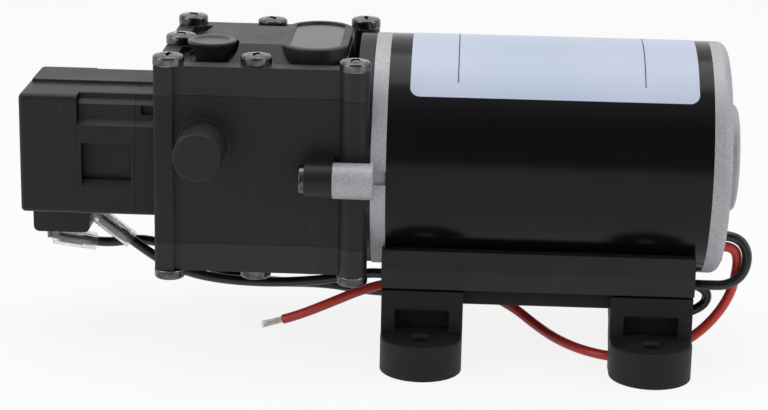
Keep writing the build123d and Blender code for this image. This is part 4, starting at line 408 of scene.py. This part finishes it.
inner_rubber = moulded_finish(
    "inner_rubber", dark=(0.018, 0.018, 0.018), light=(0.024, 0.024, 0.024),
    lifted_colour=(0.04, 0.04, 0.04), rough=0.6, scuffs=0.1)
micro_plastic = moulded_finish(
    "micro_plastic", dark=(0.009, 0.009, 0.0105), light=(0.013, 0.013, 0.0145),
    lifted_colour=(0.04, 0.04, 0.043), rough=0.36, scuffs=0.3, specular=0.3)
button_plastic = moulded_finish(
    "button_plastic", dark=(0.30, 0.02, 0.02), light=(0.36, 0.03, 0.03),
    lifted_colour=(0.5, 0.08, 0.08), rough=0.35, scuffs=0.1)
pale_plastic = moulded_finish(
    "pale_plastic", dark=(0.55, 0.53, 0.48), light=(0.62, 0.60, 0.55),
    lifted_colour=(0.7, 0.69, 0.65), rough=0.42, scuffs=0.15)
brown_resin = moulded_finish(
    "brown_resin", dark=(0.18, 0.10, 0.05), light=(0.24, 0.14, 0.08),
    lifted_colour=(0.34, 0.22, 0.14), rough=0.45, scuffs=0.15)
cover_plastic = moulded_finish(
    "cover_plastic", dark=(0.0080, 0.0075, 0.0090), light=(0.0125, 0.0120, 0.0140),
    lifted_colour=(0.050, 0.049, 0.055), rough=0.40, grain=0.000010, scuffs=0.5, specular=0.42)
plug_rubber = moulded_finish(
    "plug_rubber", dark=(0.013, 0.0127, 0.0137), light=(0.019, 0.0185, 0.0195),
    lifted_colour=(0.060, 0.059, 0.063), rough=0.46, grain=0.000012, scuffs=0.3, specular=0.42)
print("plastics and rubbers made")

# %% [markdown]
# ## The polished places of the covers
# The inset in a cover's boss and the top of the rubber plug come from polished parts of the mould.
# They are as black as the rest, but smoother, so they mirror the pale ground behind the pump and
# look lavender grey from the side. Only the roughness changes there. A mask finds each place by
# its height: the covers are mirror images about the motor's axis, so the distance from that axis
# serves for both.

# %% Polished places
INSET_RISE = 30.5 * MM
INSET_TOLERANCE = 0.06 * MM
INSET_FRONT_X = -69.0 * MM
INSET_ROUGHNESS = 0.22
PLUG_TOP_RISE = 30.2 * MM
PLUG_TOP_ROUGHNESS = 0.30


def rise_and_place(tree):
    """A surface point's distance above or below the motor's axis, and its place along it."""
    parts = tree.nodes.new("ShaderNodeSeparateXYZ")
    feed(tree, parts.inputs[0], tree.nodes["Texture Coordinate"].outputs["Object"])
    rise = math_node(tree, "ABSOLUTE", math_node(tree, "SUBTRACT", parts.outputs["Z"], AXIS_Z))
    return rise, parts.outputs["X"]


def near(tree, value, target, reach):
    """1 where a value is closer to a target than the reach."""
    away = math_node(tree, "ABSOLUTE", math_node(tree, "SUBTRACT", value, target))
    return math_node(tree, "LESS_THAN", away, reach)


def polish(tree, mask, smooth):
    """Lower a finish's roughness where the mask is 1."""
    socket = tree.nodes["Principled BSDF"].inputs["Roughness"]
    before = socket.links[0].from_socket
    feed(tree, socket, ramp_node(tree, mask, 0.0, 1.0, before, smooth))


cover_tree = cover_plastic.node_tree
rise, along = rise_and_place(cover_tree)
inset_mask = math_node(cover_tree, "MULTIPLY", near(cover_tree, rise, INSET_RISE, INSET_TOLERANCE),
                       math_node(cover_tree, "GREATER_THAN", along, INSET_FRONT_X))
polish(cover_tree, inset_mask, INSET_ROUGHNESS)

plug_tree = plug_rubber.node_tree
plug_rise = rise_and_place(plug_tree)[0]
top_mask = math_node(plug_tree, "GREATER_THAN", plug_rise, PLUG_TOP_RISE)
polish(plug_tree, top_mask, PLUG_TOP_ROUGHNESS)
print("polished:", cover_plastic.name, plug_rubber.name)

# %% [markdown]
# ## Painted shade in the parting lines
# Where two mouldings meet, their edges leave a hair-thin groove, and the shade inside it shows as a
# fine dark line round the head and round the switch. The solids meet face to face there, so this
# shade is painted by the finish: a band a fifth of a millimetre wide, at the height or the place of
# each joint.

# %% Painted groove shade
HEAD_JOINT_RISE = 20.0 * MM
SWITCH_JOINTS_X = (-108.55 * MM, -123.95 * MM)
JOINT_HALF_WIDTH = 0.11 * MM
# Painted shade: the dark inside the hair-thin groove at each joint.
GROOVE_SHADE = (0.0012, 0.0012, 0.0014)


def parting_line_shade(material, joints_x=()):
    """Paint the groove's shade at the joint between body and covers, and at some places along the
    axis.
    """
    tree = material.node_tree
    rise, along = rise_and_place(tree)
    mask = near(tree, rise, HEAD_JOINT_RISE, JOINT_HALF_WIDTH)
    for joint_x in joints_x:
        mask = math_node(tree, "MAXIMUM", mask, near(tree, along, joint_x, JOINT_HALF_WIDTH))
    socket = tree.nodes["Principled BSDF"].inputs["Base Color"]
    before = socket.links[0].from_socket
    # Paint the groove's shade over the colour along each joint.
    feed(tree, socket, mix_colour(tree, mask, before, GROOVE_SHADE))


parting_line_shade(head_plastic, SWITCH_JOINTS_X)
parting_line_shade(cover_plastic)
print("parting lines drawn")

# %% [markdown]
# ## Steel, copper and tin
# The screws are steel with a dark nickel plating. Their rims are brightened, partly as wear from a
# tool and partly as a painted highlight for their glints. The shaft, the bearings and the windings
# are seen only when the pump is opened, so they are plain metals. One function makes them all: two
# near shades in soft patches, a very fine grain, and brighter edges.

# %% Metal finishes
METAL_GRAIN_SCALE = 4000.0
METAL_GRAIN_DEPTH = 0.000004


def metal_finish(name, colour, shade, rough, edge=0.0002, rub_and_highlight_amount=0.35, lifted_colour=(0.8, 0.8, 0.8),
                 mottle_size=220.0):
    """Metal with a fine surface and brighter edges."""
    material, tree, shader, place = new_material(name)
    surface = place_group(tree, grain_effect, place, Grain_Scale=METAL_GRAIN_SCALE,
                          Mottle_Scale=mottle_size)
    edges = place_group(tree, edge_effect, Radius=edge)
    mixed = mix_colour(tree, surface.outputs["Mottle"], colour, shade)
    # Brighter edges: wear, and on the screws also a painted highlight.
    edge_lift = math_node(tree, "MULTIPLY", edges.outputs["Edge"], rub_and_highlight_amount)
    feed_all(tree, shader, Base_Color=mix_colour(tree, edge_lift, mixed, lifted_colour), Metallic=1.0,
             Roughness=varied(tree, rough, surface.outputs["Mottle"], change=0.12),
             Normal=bump_node(tree, surface.outputs["Height"], METAL_GRAIN_DEPTH,
                              normal=edges.outputs["Normal"]))
    return material


# The screws' bright rims are partly wear from a tool and partly a painted highlight for their
# glints.
screw_steel = metal_finish(
    "screw_steel", colour=(0.17, 0.165, 0.16), shade=(0.045, 0.044, 0.044), rough=0.15,
    mottle_size=520.0, edge=0.0003, lifted_colour=(0.85, 0.84, 0.82), rub_and_highlight_amount=0.75)
bearing_steel = metal_finish(
    "bearing_steel", colour=(0.62, 0.62, 0.63), shade=(0.5, 0.5, 0.51), rough=0.16)
shaft_steel = metal_finish(
    "shaft_steel", colour=(0.55, 0.55, 0.56), shade=(0.42, 0.42, 0.43), rough=0.28)
core_steel = metal_finish(
    "core_steel", colour=(0.30, 0.31, 0.33), shade=(0.22, 0.23, 0.25), rough=0.45)
copper = metal_finish(
    "copper", colour=(0.72, 0.30, 0.15), shade=(0.55, 0.22, 0.10), rough=0.30, lifted_colour=(0.9, 0.5, 0.3))
bronze = metal_finish(
    "bronze", colour=(0.50, 0.34, 0.16), shade=(0.38, 0.26, 0.12), rough=0.42, lifted_colour=(0.7, 0.5, 0.3))
tinned = metal_finish(
    "tinned", colour=(0.62, 0.60, 0.56), shade=(0.45, 0.42, 0.38), rough=0.32)
terminal_metal = metal_finish(
    "terminal_metal", colour=(0.22, 0.215, 0.21), shade=(0.10, 0.10, 0.10), rough=0.30)
print("metals made")

# %% [markdown]
# ## Cast aluminium
# The two castings at the can's ends are sand-rough aluminium, tumbled but not machined. Their grey
# is broken up by fine dark pits and soft patches. A noise that is pushed to a hard contrast gives
# the pits, and they lower both the colour and the surface.

# %% Casting finish
PIT_SCALE = 1900.0
PIT_RANGE = (0.34, 0.54)
PIT_SHARE = 0.8  # of the pits in the height, next to the grain
PIT_COLOUR = (0.34, 0.335, 0.355)
CAST_METALLIC = 0.35  # low, because the rough skin scatters the light like a paint
CAST_DARK = (0.42, 0.415, 0.44)
CAST_LIGHT = (0.50, 0.495, 0.52)
CAST_RUB = (0.62, 0.62, 0.63)
CAST_EDGE_RUB = 0.4


def casting_finish(name):
    """Cast aluminium: fine pits, soft patches and rubbed edges."""
    material, tree, shader, place = new_material(name)
    surface = place_group(tree, grain_effect, place, Grain_Scale=1500.0, Mottle_Scale=120.0)
    edges = place_group(tree, edge_effect, Radius=0.00035)
    specks = noise_node(tree, place, PIT_SCALE, detail=3.0, roughness=0.65)
    level = ramp_node(tree, specks, *PIT_RANGE)  # 0 in a pit and 1 beside it
    colour = mix_colour(tree, surface.outputs["Mottle"], CAST_DARK, CAST_LIGHT)
    colour = mix_colour(tree, level, PIT_COLOUR, colour)
    edge_lift = math_node(tree, "MULTIPLY", edges.outputs["Edge"], CAST_EDGE_RUB)
    height = varied(tree, surface.outputs["Height"], level, change=PIT_SHARE)
    feed_all(tree, shader, Base_Color=mix_colour(tree, edge_lift, colour, CAST_RUB),
             Metallic=CAST_METALLIC,
             Roughness=varied(tree, 0.50, surface.outputs["Mottle"], change=0.12),
             Normal=bump_node(tree, height, depth=0.00005, normal=edges.outputs["Normal"]))
    return material


casting_metal = casting_finish("casting_metal")
print("casting finish:", casting_metal.name)

# %% [markdown]
# ## Give the solids their finishes
# A solid's shape is right already, so only the material in its slots is changed. The list goes by
# finish, which shows at a glance what is made of the same stuff.

# %% Dress the solids


def dress(finish, *names):
    """Give a finish to solids, by name."""
    for name in names:
        for slot in nodes[name].material_slots:
            slot.material = finish


finishes = {
    head_plastic: ["head_body", "switch_flange", "switch_housing", "switch_cap"],
    cover_plastic: ["top_cover", "bottom_cover"],
    plug_rubber: ["cover_plugs"],
    bracket_plastic: ["base_bracket"],
    foot_rubber: ["front_left_foot", "front_right_foot", "rear_left_foot", "rear_right_foot"],
    cap_rubber: ["inlet_port_cap", "outlet_port_cap"],
    casting_metal: ["front_casting", "rear_casting", "crank_yoke"],
    screw_steel: ["cover_screws", "flange_screws", "motor_screws", "switch_screws",
                  "piston_screws", "hub_grub_screw", "adjusting_screw", "brush_springs",
                  "switch_spring"],
    bearing_steel: ["front_bearing_outer_ring", "front_bearing_inner_ring",
                    "front_bearing_balls", "crank_bearing_outer_ring",
                    "crank_bearing_inner_ring", "crank_bearing_balls"],
    shaft_steel: ["motor_shaft", "eccentric_hub"],
    core_steel: ["rotor_core", "magnets"],
    copper: ["windings", "commutator"],
    bronze: ["rear_bush"],
    inner_rubber: ["upper_diaphragm", "lower_diaphragm", "switch_diaphragm", "umbrella_valves",
                   "cover_seals", "lead_grommet", "brushes"],
    pale_plastic: ["valve_plates", "piston_plates", "switch_piston"],
    brown_resin: ["brush_holder"],
    micro_plastic: ["micro_switch"],
    button_plastic: ["micro_switch_button"],
    terminal_metal: ["spade_terminals"],
    tinned: ["bare_lead_ends"],
}
for finish, names in finishes.items():
    dress(finish, *names)
print("dressed:", sum(len(names) for names in finishes.values()), "solids")

# %% [markdown]
# ## The motor can
# The can is a drawn steel tube with thick gloss paint. The paint is so black that nearly all that
# is seen of it is what it mirrors, so its gloss is set low and its few scuffs only change the
# roughness. A very gentle orange-peel bump keeps it from looking like a perfect cylinder.

# %% Can paint
CAN_BLACK = (0.0022, 0.0020, 0.0028)
CAN_BLACK_PATCH = (0.0040, 0.0036, 0.0048)
ORANGE_PEEL_DEPTH = 0.000008


def can_paint_finish():
    """Thick black gloss paint."""
    material, tree, shader, place = new_material("can_paint")
    surface = place_group(tree, grain_effect, place, Grain_Scale=600.0, Mottle_Scale=40.0)
    marks = place_group(tree, scuff_effect, place, Scale=90.0)
    colour = mix_colour(tree, surface.outputs["Mottle"], CAN_BLACK, CAN_BLACK_PATCH)
    feed_all(tree, shader, Base_Color=colour, Specular_IOR_Level=0.22,
             Roughness=varied(tree, 0.20, marks.outputs["Mask"], change=0.16),
             Normal=bump_node(tree, surface.outputs["Height"], ORANGE_PEEL_DEPTH, strength=0.5))
    return material


dress(can_paint_finish(), "motor_can")
print("can painted")

# %% [markdown]
# ## The leads' insulation
# The insulation is soft vinyl, pressed round the strands while hot, so it is even and fairly
# glossy. Two near shades in soft patches and a faint bump are enough.

# %% Insulation


def insulation_finish(name, colour, shade):
    """Soft vinyl in one colour."""
    material, tree, shader, place = new_material(name)
    surface = place_group(tree, grain_effect, place, Grain_Scale=1800.0, Mottle_Scale=160.0)
    feed_all(tree, shader, Roughness=0.30,
             Base_Color=mix_colour(tree, surface.outputs["Mottle"], colour, shade),
             Normal=bump_node(tree, surface.outputs["Height"], depth=0.00002, strength=0.5))
    return material


red_insulation = insulation_finish("red_insulation", (0.74, 0.050, 0.034), (0.58, 0.034, 0.024))
black_insulation = insulation_finish(
    "black_insulation", (0.0055, 0.0055, 0.0065), (0.010, 0.010, 0.011))
red_curve.data.materials.append(red_insulation)
motor_black_curve.data.materials.append(black_insulation)
switch_curve.data.materials.append(black_insulation)
print("insulation:", red_insulation.name, black_insulation.name)

# %% [markdown]
# ## The clear sleeves
# Over each spade terminal slips a sleeve of clear soft vinyl, a little cloudy in streaks. It
# transmits nearly all the light, and its roughness changes with the mottle, so that it looks
# cloudy in places and clear in others.

# %% Sleeves


def sleeve_finish():
    """Clear soft vinyl, a little cloudy in streaks."""
    material, tree, shader, place = new_material("sleeve_clear")
    surface = place_group(tree, grain_effect, place, Grain_Scale=700.0, Mottle_Scale=260.0)
    colour = mix_colour(tree, surface.outputs["Mottle"], (0.88, 0.89, 0.90), (0.97, 0.97, 0.97))
    feed_all(tree, shader, Base_Color=colour, Transmission_Weight=0.94, IOR=1.38,
             Roughness=varied(tree, 0.06, surface.outputs["Mottle"], change=0.16),
             Normal=bump_node(tree, surface.outputs["Height"], depth=0.00003))
    return material


dress(sleeve_finish(), "terminal_sleeves")
print("sleeves dressed")

# %% [markdown]
# ## The label
# The label is a pale blue film, bonded to the can, and two thin lines divide it. A line is where a
# point's X is close to the line's own X, and its Y within the line's reach, so it follows the film
# round the can.

# %% Label
LABEL_LINES_X = (-22.55 * MM, 26.4 * MM)
LABEL_LINE_HALF_WIDTH = 0.16 * MM
LABEL_LINE_REACH = 21.0 * MM
LABEL_INK = (0.03, 0.035, 0.05)


def label_finish():
    """Pale film with a soft sheen and two thin printed dividing lines."""
    material, tree, shader, place = new_material("label_film")
    surface = place_group(tree, grain_effect, place, Grain_Scale=900.0, Mottle_Scale=18.0)
    film = mix_colour(tree, surface.outputs["Mottle"], (0.53, 0.60, 0.73), (0.61, 0.67, 0.79))
    parts = tree.nodes.new("ShaderNodeSeparateXYZ")
    feed(tree, parts.inputs[0], place)
    lines = 0.0
    for line_x in LABEL_LINES_X:
        line = near(tree, parts.outputs["X"], line_x, LABEL_LINE_HALF_WIDTH)
        lines = math_node(tree, "MAXIMUM", lines, line)
    ink = math_node(tree, "MULTIPLY", lines, near(tree, parts.outputs["Y"], 0.0, LABEL_LINE_REACH))
    feed_all(tree, shader, Base_Color=mix_colour(tree, ink, film, LABEL_INK),
             Specular_IOR_Level=0.3,
             Roughness=varied(tree, 0.34, surface.outputs["Mottle"], change=0.10),
             Normal=bump_node(tree, surface.outputs["Height"], depth=0.000008, strength=0.4))
    return material


dress(label_finish(), "rating_label")
print("label dressed")

# %% [markdown]
# ## The bare ends
# The red lead ends in a few millimetres of tinned strands that have begun to spread. The black lead
# from the switch is cut square behind the bracket, so its strands only just show. A strand is a
# thin drawn wire. One is modelled: a disc, extruded step by step and narrowed at its tip. It is one
# millimetre long, and the copies are stretched to their own lengths.

# %% One strand
STRAND_RADIUS = 0.17 * MM
STRAND_SIDES = 8
STRAND_STEPS = 7
STRAND_TIP = 0.7  # the tip's width over the strand's


def model_strand():
    """A strand a millimetre long along +Z, made from a disc by extrusion."""
    bpy.ops.object.select_all(action="DESELECT")
    bpy.ops.mesh.primitive_circle_add(vertices=STRAND_SIDES, radius=STRAND_RADIUS,
                                      fill_type="NGON", location=(0, 0, 0))
    strand = bpy.context.object
    bpy.ops.object.mode_set(mode="EDIT")
    bpy.ops.mesh.select_all(action="SELECT")
    for step in range(STRAND_STEPS):
        bpy.ops.mesh.extrude_region_move(
            TRANSFORM_OT_translate={"value": (0, 0, MM / STRAND_STEPS)})
    bpy.ops.transform.resize(value=(STRAND_TIP, STRAND_TIP, 1.0))
    bpy.ops.mesh.select_all(action="SELECT")
    bpy.ops.mesh.normals_make_consistent(inside=False)
    bpy.ops.object.mode_set(mode="OBJECT")
    bpy.ops.object.shade_smooth_by_angle(angle=radians(50))
    return strand


one_strand = model_strand()
print("strand:", len(one_strand.data.vertices), "points")

# %% [markdown]
# ## Lay the strands
# A real stranded wire is laid in rings of one, six and twelve, twisted together. Each copy is put
# in its ring, turned along its length, and pushed outwards more and more towards its tip. A sine
# of its number makes each strand wander by its own amount, the same on every run.

# %% Bare strands
RINGS = ((1, 0.0), (6, 0.36 * MM), (12, 0.71 * MM))
LAY_TURN = radians(32)
STRAND_START = 0.5 * MM  # how far inside the insulation a strand begins
SHORTENED = 0.10  # of its length, that a strand loses at most
SPLAY = (0.6, 0.5)  # outward spread: the even share, and the share that wanders
SIDE_WANDER = 0.35 * MM
WANDER_STEPS = (5.3, 11.0)  # radians from strand to strand, and for each strand in the ring


def strand_bundle(tip, along, length, spread):
    """Copies of the strand in rings round the lead's axis, starting inside its insulation."""
    copies = []
    turn = Vector(along).to_track_quat("Z", "Y").to_matrix().to_4x4()
    place = Matrix.Translation(Vector(tip) * MM) @ turn
    for count, ring_radius in RINGS:
        for number in range(count):
            copy = one_strand.copy()
            copy.data = one_strand.data.copy()
            bpy.context.scene.collection.objects.link(copy)
            angle = 2 * pi * number / count
            wander = sin(WANDER_STEPS[0] * number + WANDER_STEPS[1] * count)
            reach = length * (1.0 - SHORTENED * abs(wander))
            for vertex in copy.data.vertices:
                share = vertex.co.z / MM
                lean = angle + LAY_TURN * share
                out = ring_radius * (1.0 + spread * share ** 2 * (SPLAY[0] + SPLAY[1] * wander))
                side = spread * share ** 3 * SIDE_WANDER * wander
                vertex.co.x += out * cos(lean) + side
                vertex.co.y += out * sin(lean) - side
                vertex.co.z = share * (reach + STRAND_START) - STRAND_START
            copy.data.transform(place)
            copies.append(copy)
    return copies


red_end = strand_bundle(red_points[-1], along=(-4.2, 1.2, -1.7), length=6.9 * MM, spread=0.55)
black_end = strand_bundle(switch_points[-1], along=(-3.7, -0.2, -1.4), length=0.4 * MM, spread=0.0)
bpy.data.objects.remove(one_strand, do_unlink=True)
bpy.ops.object.select_all(action="DESELECT")
for piece in red_end + black_end:
    piece.select_set(True)
bpy.context.view_layer.objects.active = red_end[0]
bpy.ops.object.join()
bare_strands = bpy.context.object
bare_strands.name = "bare_strands"
bare_strands.data.materials.clear()
bare_strands.data.materials.append(tinned)
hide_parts("bare_lead_ends")
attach(bare_strands, "pump")
print("bare strands:", len(bare_strands.data.polygons), "faces")

# %% [markdown]
# ## The leads ride on the pump
# All three leads are held by the pump's own body, so they ride on it. The table also lists each
# lead's real length along its middle line.

LEADS = (  # curve, slot, points, length in metres, far end, pieces that go with it
    (motor_black_curve, "black_insulation", motor_black_points, 0.1894, "object", []),
    (switch_curve, "black_insulation", switch_points, 0.1838, "bare", []),
    (red_curve, "red_insulation", red_points, 0.1665, "bare", [bare_strands]),
)
for piece, slot_name, points, length, far_end, extras in LEADS:
    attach(piece, "pump")

# %% [markdown]
# ## The white ground
# The pump stands on white paper that runs out of the picture. To the camera, and in mirrors and
# clear plastic, the paper glows a little, so that it looks white without more light on the pump.
# To all other rays it is plain paper, which keeps the pump's soft shadow.

# %% Floor
FLOOR_SIZE = 8.0
PAPER_WHITE = (0.92, 0.92, 0.92)
PAPER_GLOW = 0.87  # share of glow over paper, where the rays see the ground
PURE_WHITE = (1.0, 1.0, 1.0)


def pale_rays(tree, path):
    """1 for the rays that see the pale ground: camera, glossy and transmission rays."""
    glossy = math_node(tree, "MAXIMUM", path.outputs["Is Camera Ray"],
                       path.outputs["Is Glossy Ray"])
    return math_node(tree, "MAXIMUM", glossy, path.outputs["Is Transmission Ray"])


def mix_shaders(tree, share, first, second):
    """Two shaders mixed by a share, in a Mix Shader node."""
    mix = tree.nodes.new("ShaderNodeMixShader")
    for socket, value in zip(mix.inputs, (share, first.outputs[0], second.outputs[0])):
        feed(tree, socket, value)
    return mix.outputs[0]


def add_floor():
    """A large sheet of paper under the pump, on the stage and not on the object."""
    bpy.ops.object.select_all(action="DESELECT")
    bpy.ops.mesh.primitive_plane_add(size=FLOOR_SIZE, location=(0.0, 0.0, 0.0))
    floor = bpy.context.object
    floor.name = "floor"
    material = bpy.data.materials.new("floor_paper")
    material.use_nodes = True
    tree = material.node_tree
    tree.nodes.clear()
    output = tree.nodes.new("ShaderNodeOutputMaterial")
    diffuse = tree.nodes.new("ShaderNodeBsdfDiffuse")
    feed_all(tree, diffuse, Color=PAPER_WHITE)
    glow = tree.nodes.new("ShaderNodeEmission")
    feed_all(tree, glow, Color=PURE_WHITE)
    path = tree.nodes.new("ShaderNodeLightPath")
    seen = math_node(tree, "MULTIPLY", pale_rays(tree, path), PAPER_GLOW)
    feed_all(tree, output, Surface=mix_shaders(tree, seen, diffuse, glow))
    floor.data.materials.append(material)
    return floor


floor = add_floor()
print("floor:", floor.name, "of", FLOOR_SIZE, "m")

# %% [markdown]
# ## The room
# The world fills the shadows evenly. Its mirror image matters more: the room behind the pump is
# bright, and the room in front of it is dim, which is what the can's upper half mirrors. So the
# backdrop's strength rises from front to back, except straight to the camera, where it is white.

# %% World
FILL_COLOUR = (0.93, 0.95, 1.0)
FILL_STRENGTH = 0.42
ROOM_DIM_TO_Y = -0.75  # as a direction: -1 is straight in front of the pump
ROOM_BRIGHT_FROM_Y = 0.1
ROOM_DIM_STRENGTH = 0.18


def add_world():
    """The evenly lit fill, and the backdrop that only some rays see."""
    world = bpy.data.worlds.new("studio")
    bpy.context.scene.world = world
    world.use_nodes = True
    tree = world.node_tree
    tree.nodes.clear()
    output = tree.nodes.new("ShaderNodeOutputWorld")
    fill = tree.nodes.new("ShaderNodeBackground")
    feed_all(tree, fill, Color=FILL_COLOUR, Strength=FILL_STRENGTH)
    backdrop = tree.nodes.new("ShaderNodeBackground")
    path = tree.nodes.new("ShaderNodeLightPath")
    place = tree.nodes.new("ShaderNodeTexCoord")
    parts = tree.nodes.new("ShaderNodeSeparateXYZ")
    feed(tree, parts.inputs[0], place.outputs["Generated"])
    room = ramp_node(tree, parts.outputs["Y"], ROOM_DIM_TO_Y, ROOM_BRIGHT_FROM_Y,
                     ROOM_DIM_STRENGTH, 1.0)
    lit = math_node(tree, "MAXIMUM", room, path.outputs["Is Camera Ray"])
    feed_all(tree, backdrop, Color=PURE_WHITE, Strength=lit)
    feed_all(tree, output, Surface=mix_shaders(tree, pale_rays(tree, path), fill, backdrop))
    return world


world = add_world()
print("world:", world.name)

# %% [markdown]
# ## The lamps
# Broad soft light comes from area lamps, as from softboxes in a studio. A large one hangs over the
# pump, a little behind it, and two weaker ones stand in front, to the left and to the right. The
# picture is shown with the Standard view, in which a colour renders about as it is written.

# %% Lamps
LAMPS = (  # name, place, aim, width and depth, watts
    ("top_softbox", (-0.05, 0.12, 0.75), (-0.03, 0.0, 0.05), (0.9, 0.5), 2.8),
    ("left_softbox", (-0.75, -0.45, 0.35), (-0.05, 0.0, 0.05), (0.5, 0.6), 1.9),
    ("right_softbox", (0.8, -0.35, 0.40), (0.0, 0.0, 0.05), (0.4, 0.6), 1.5),
)


def add_lamp(name, place, aim, size, watts):
    """A rectangular softbox at a place, turned towards its aim."""
    data = bpy.data.lights.new(name, "AREA")
    data.shape = "RECTANGLE"
    data.size, data.size_y = size
    data.energy = watts
    lamp = add_object(name, data)
    lamp.location = place
    lamp.rotation_euler = (Vector(aim) - Vector(place)).to_track_quat("-Z", "Y").to_euler()
    return lamp


lamps = [add_lamp(*lamp) for lamp in LAMPS]
bpy.context.scene.view_settings.view_transform = "Standard"
print("lamps:", [lamp.name for lamp in lamps])
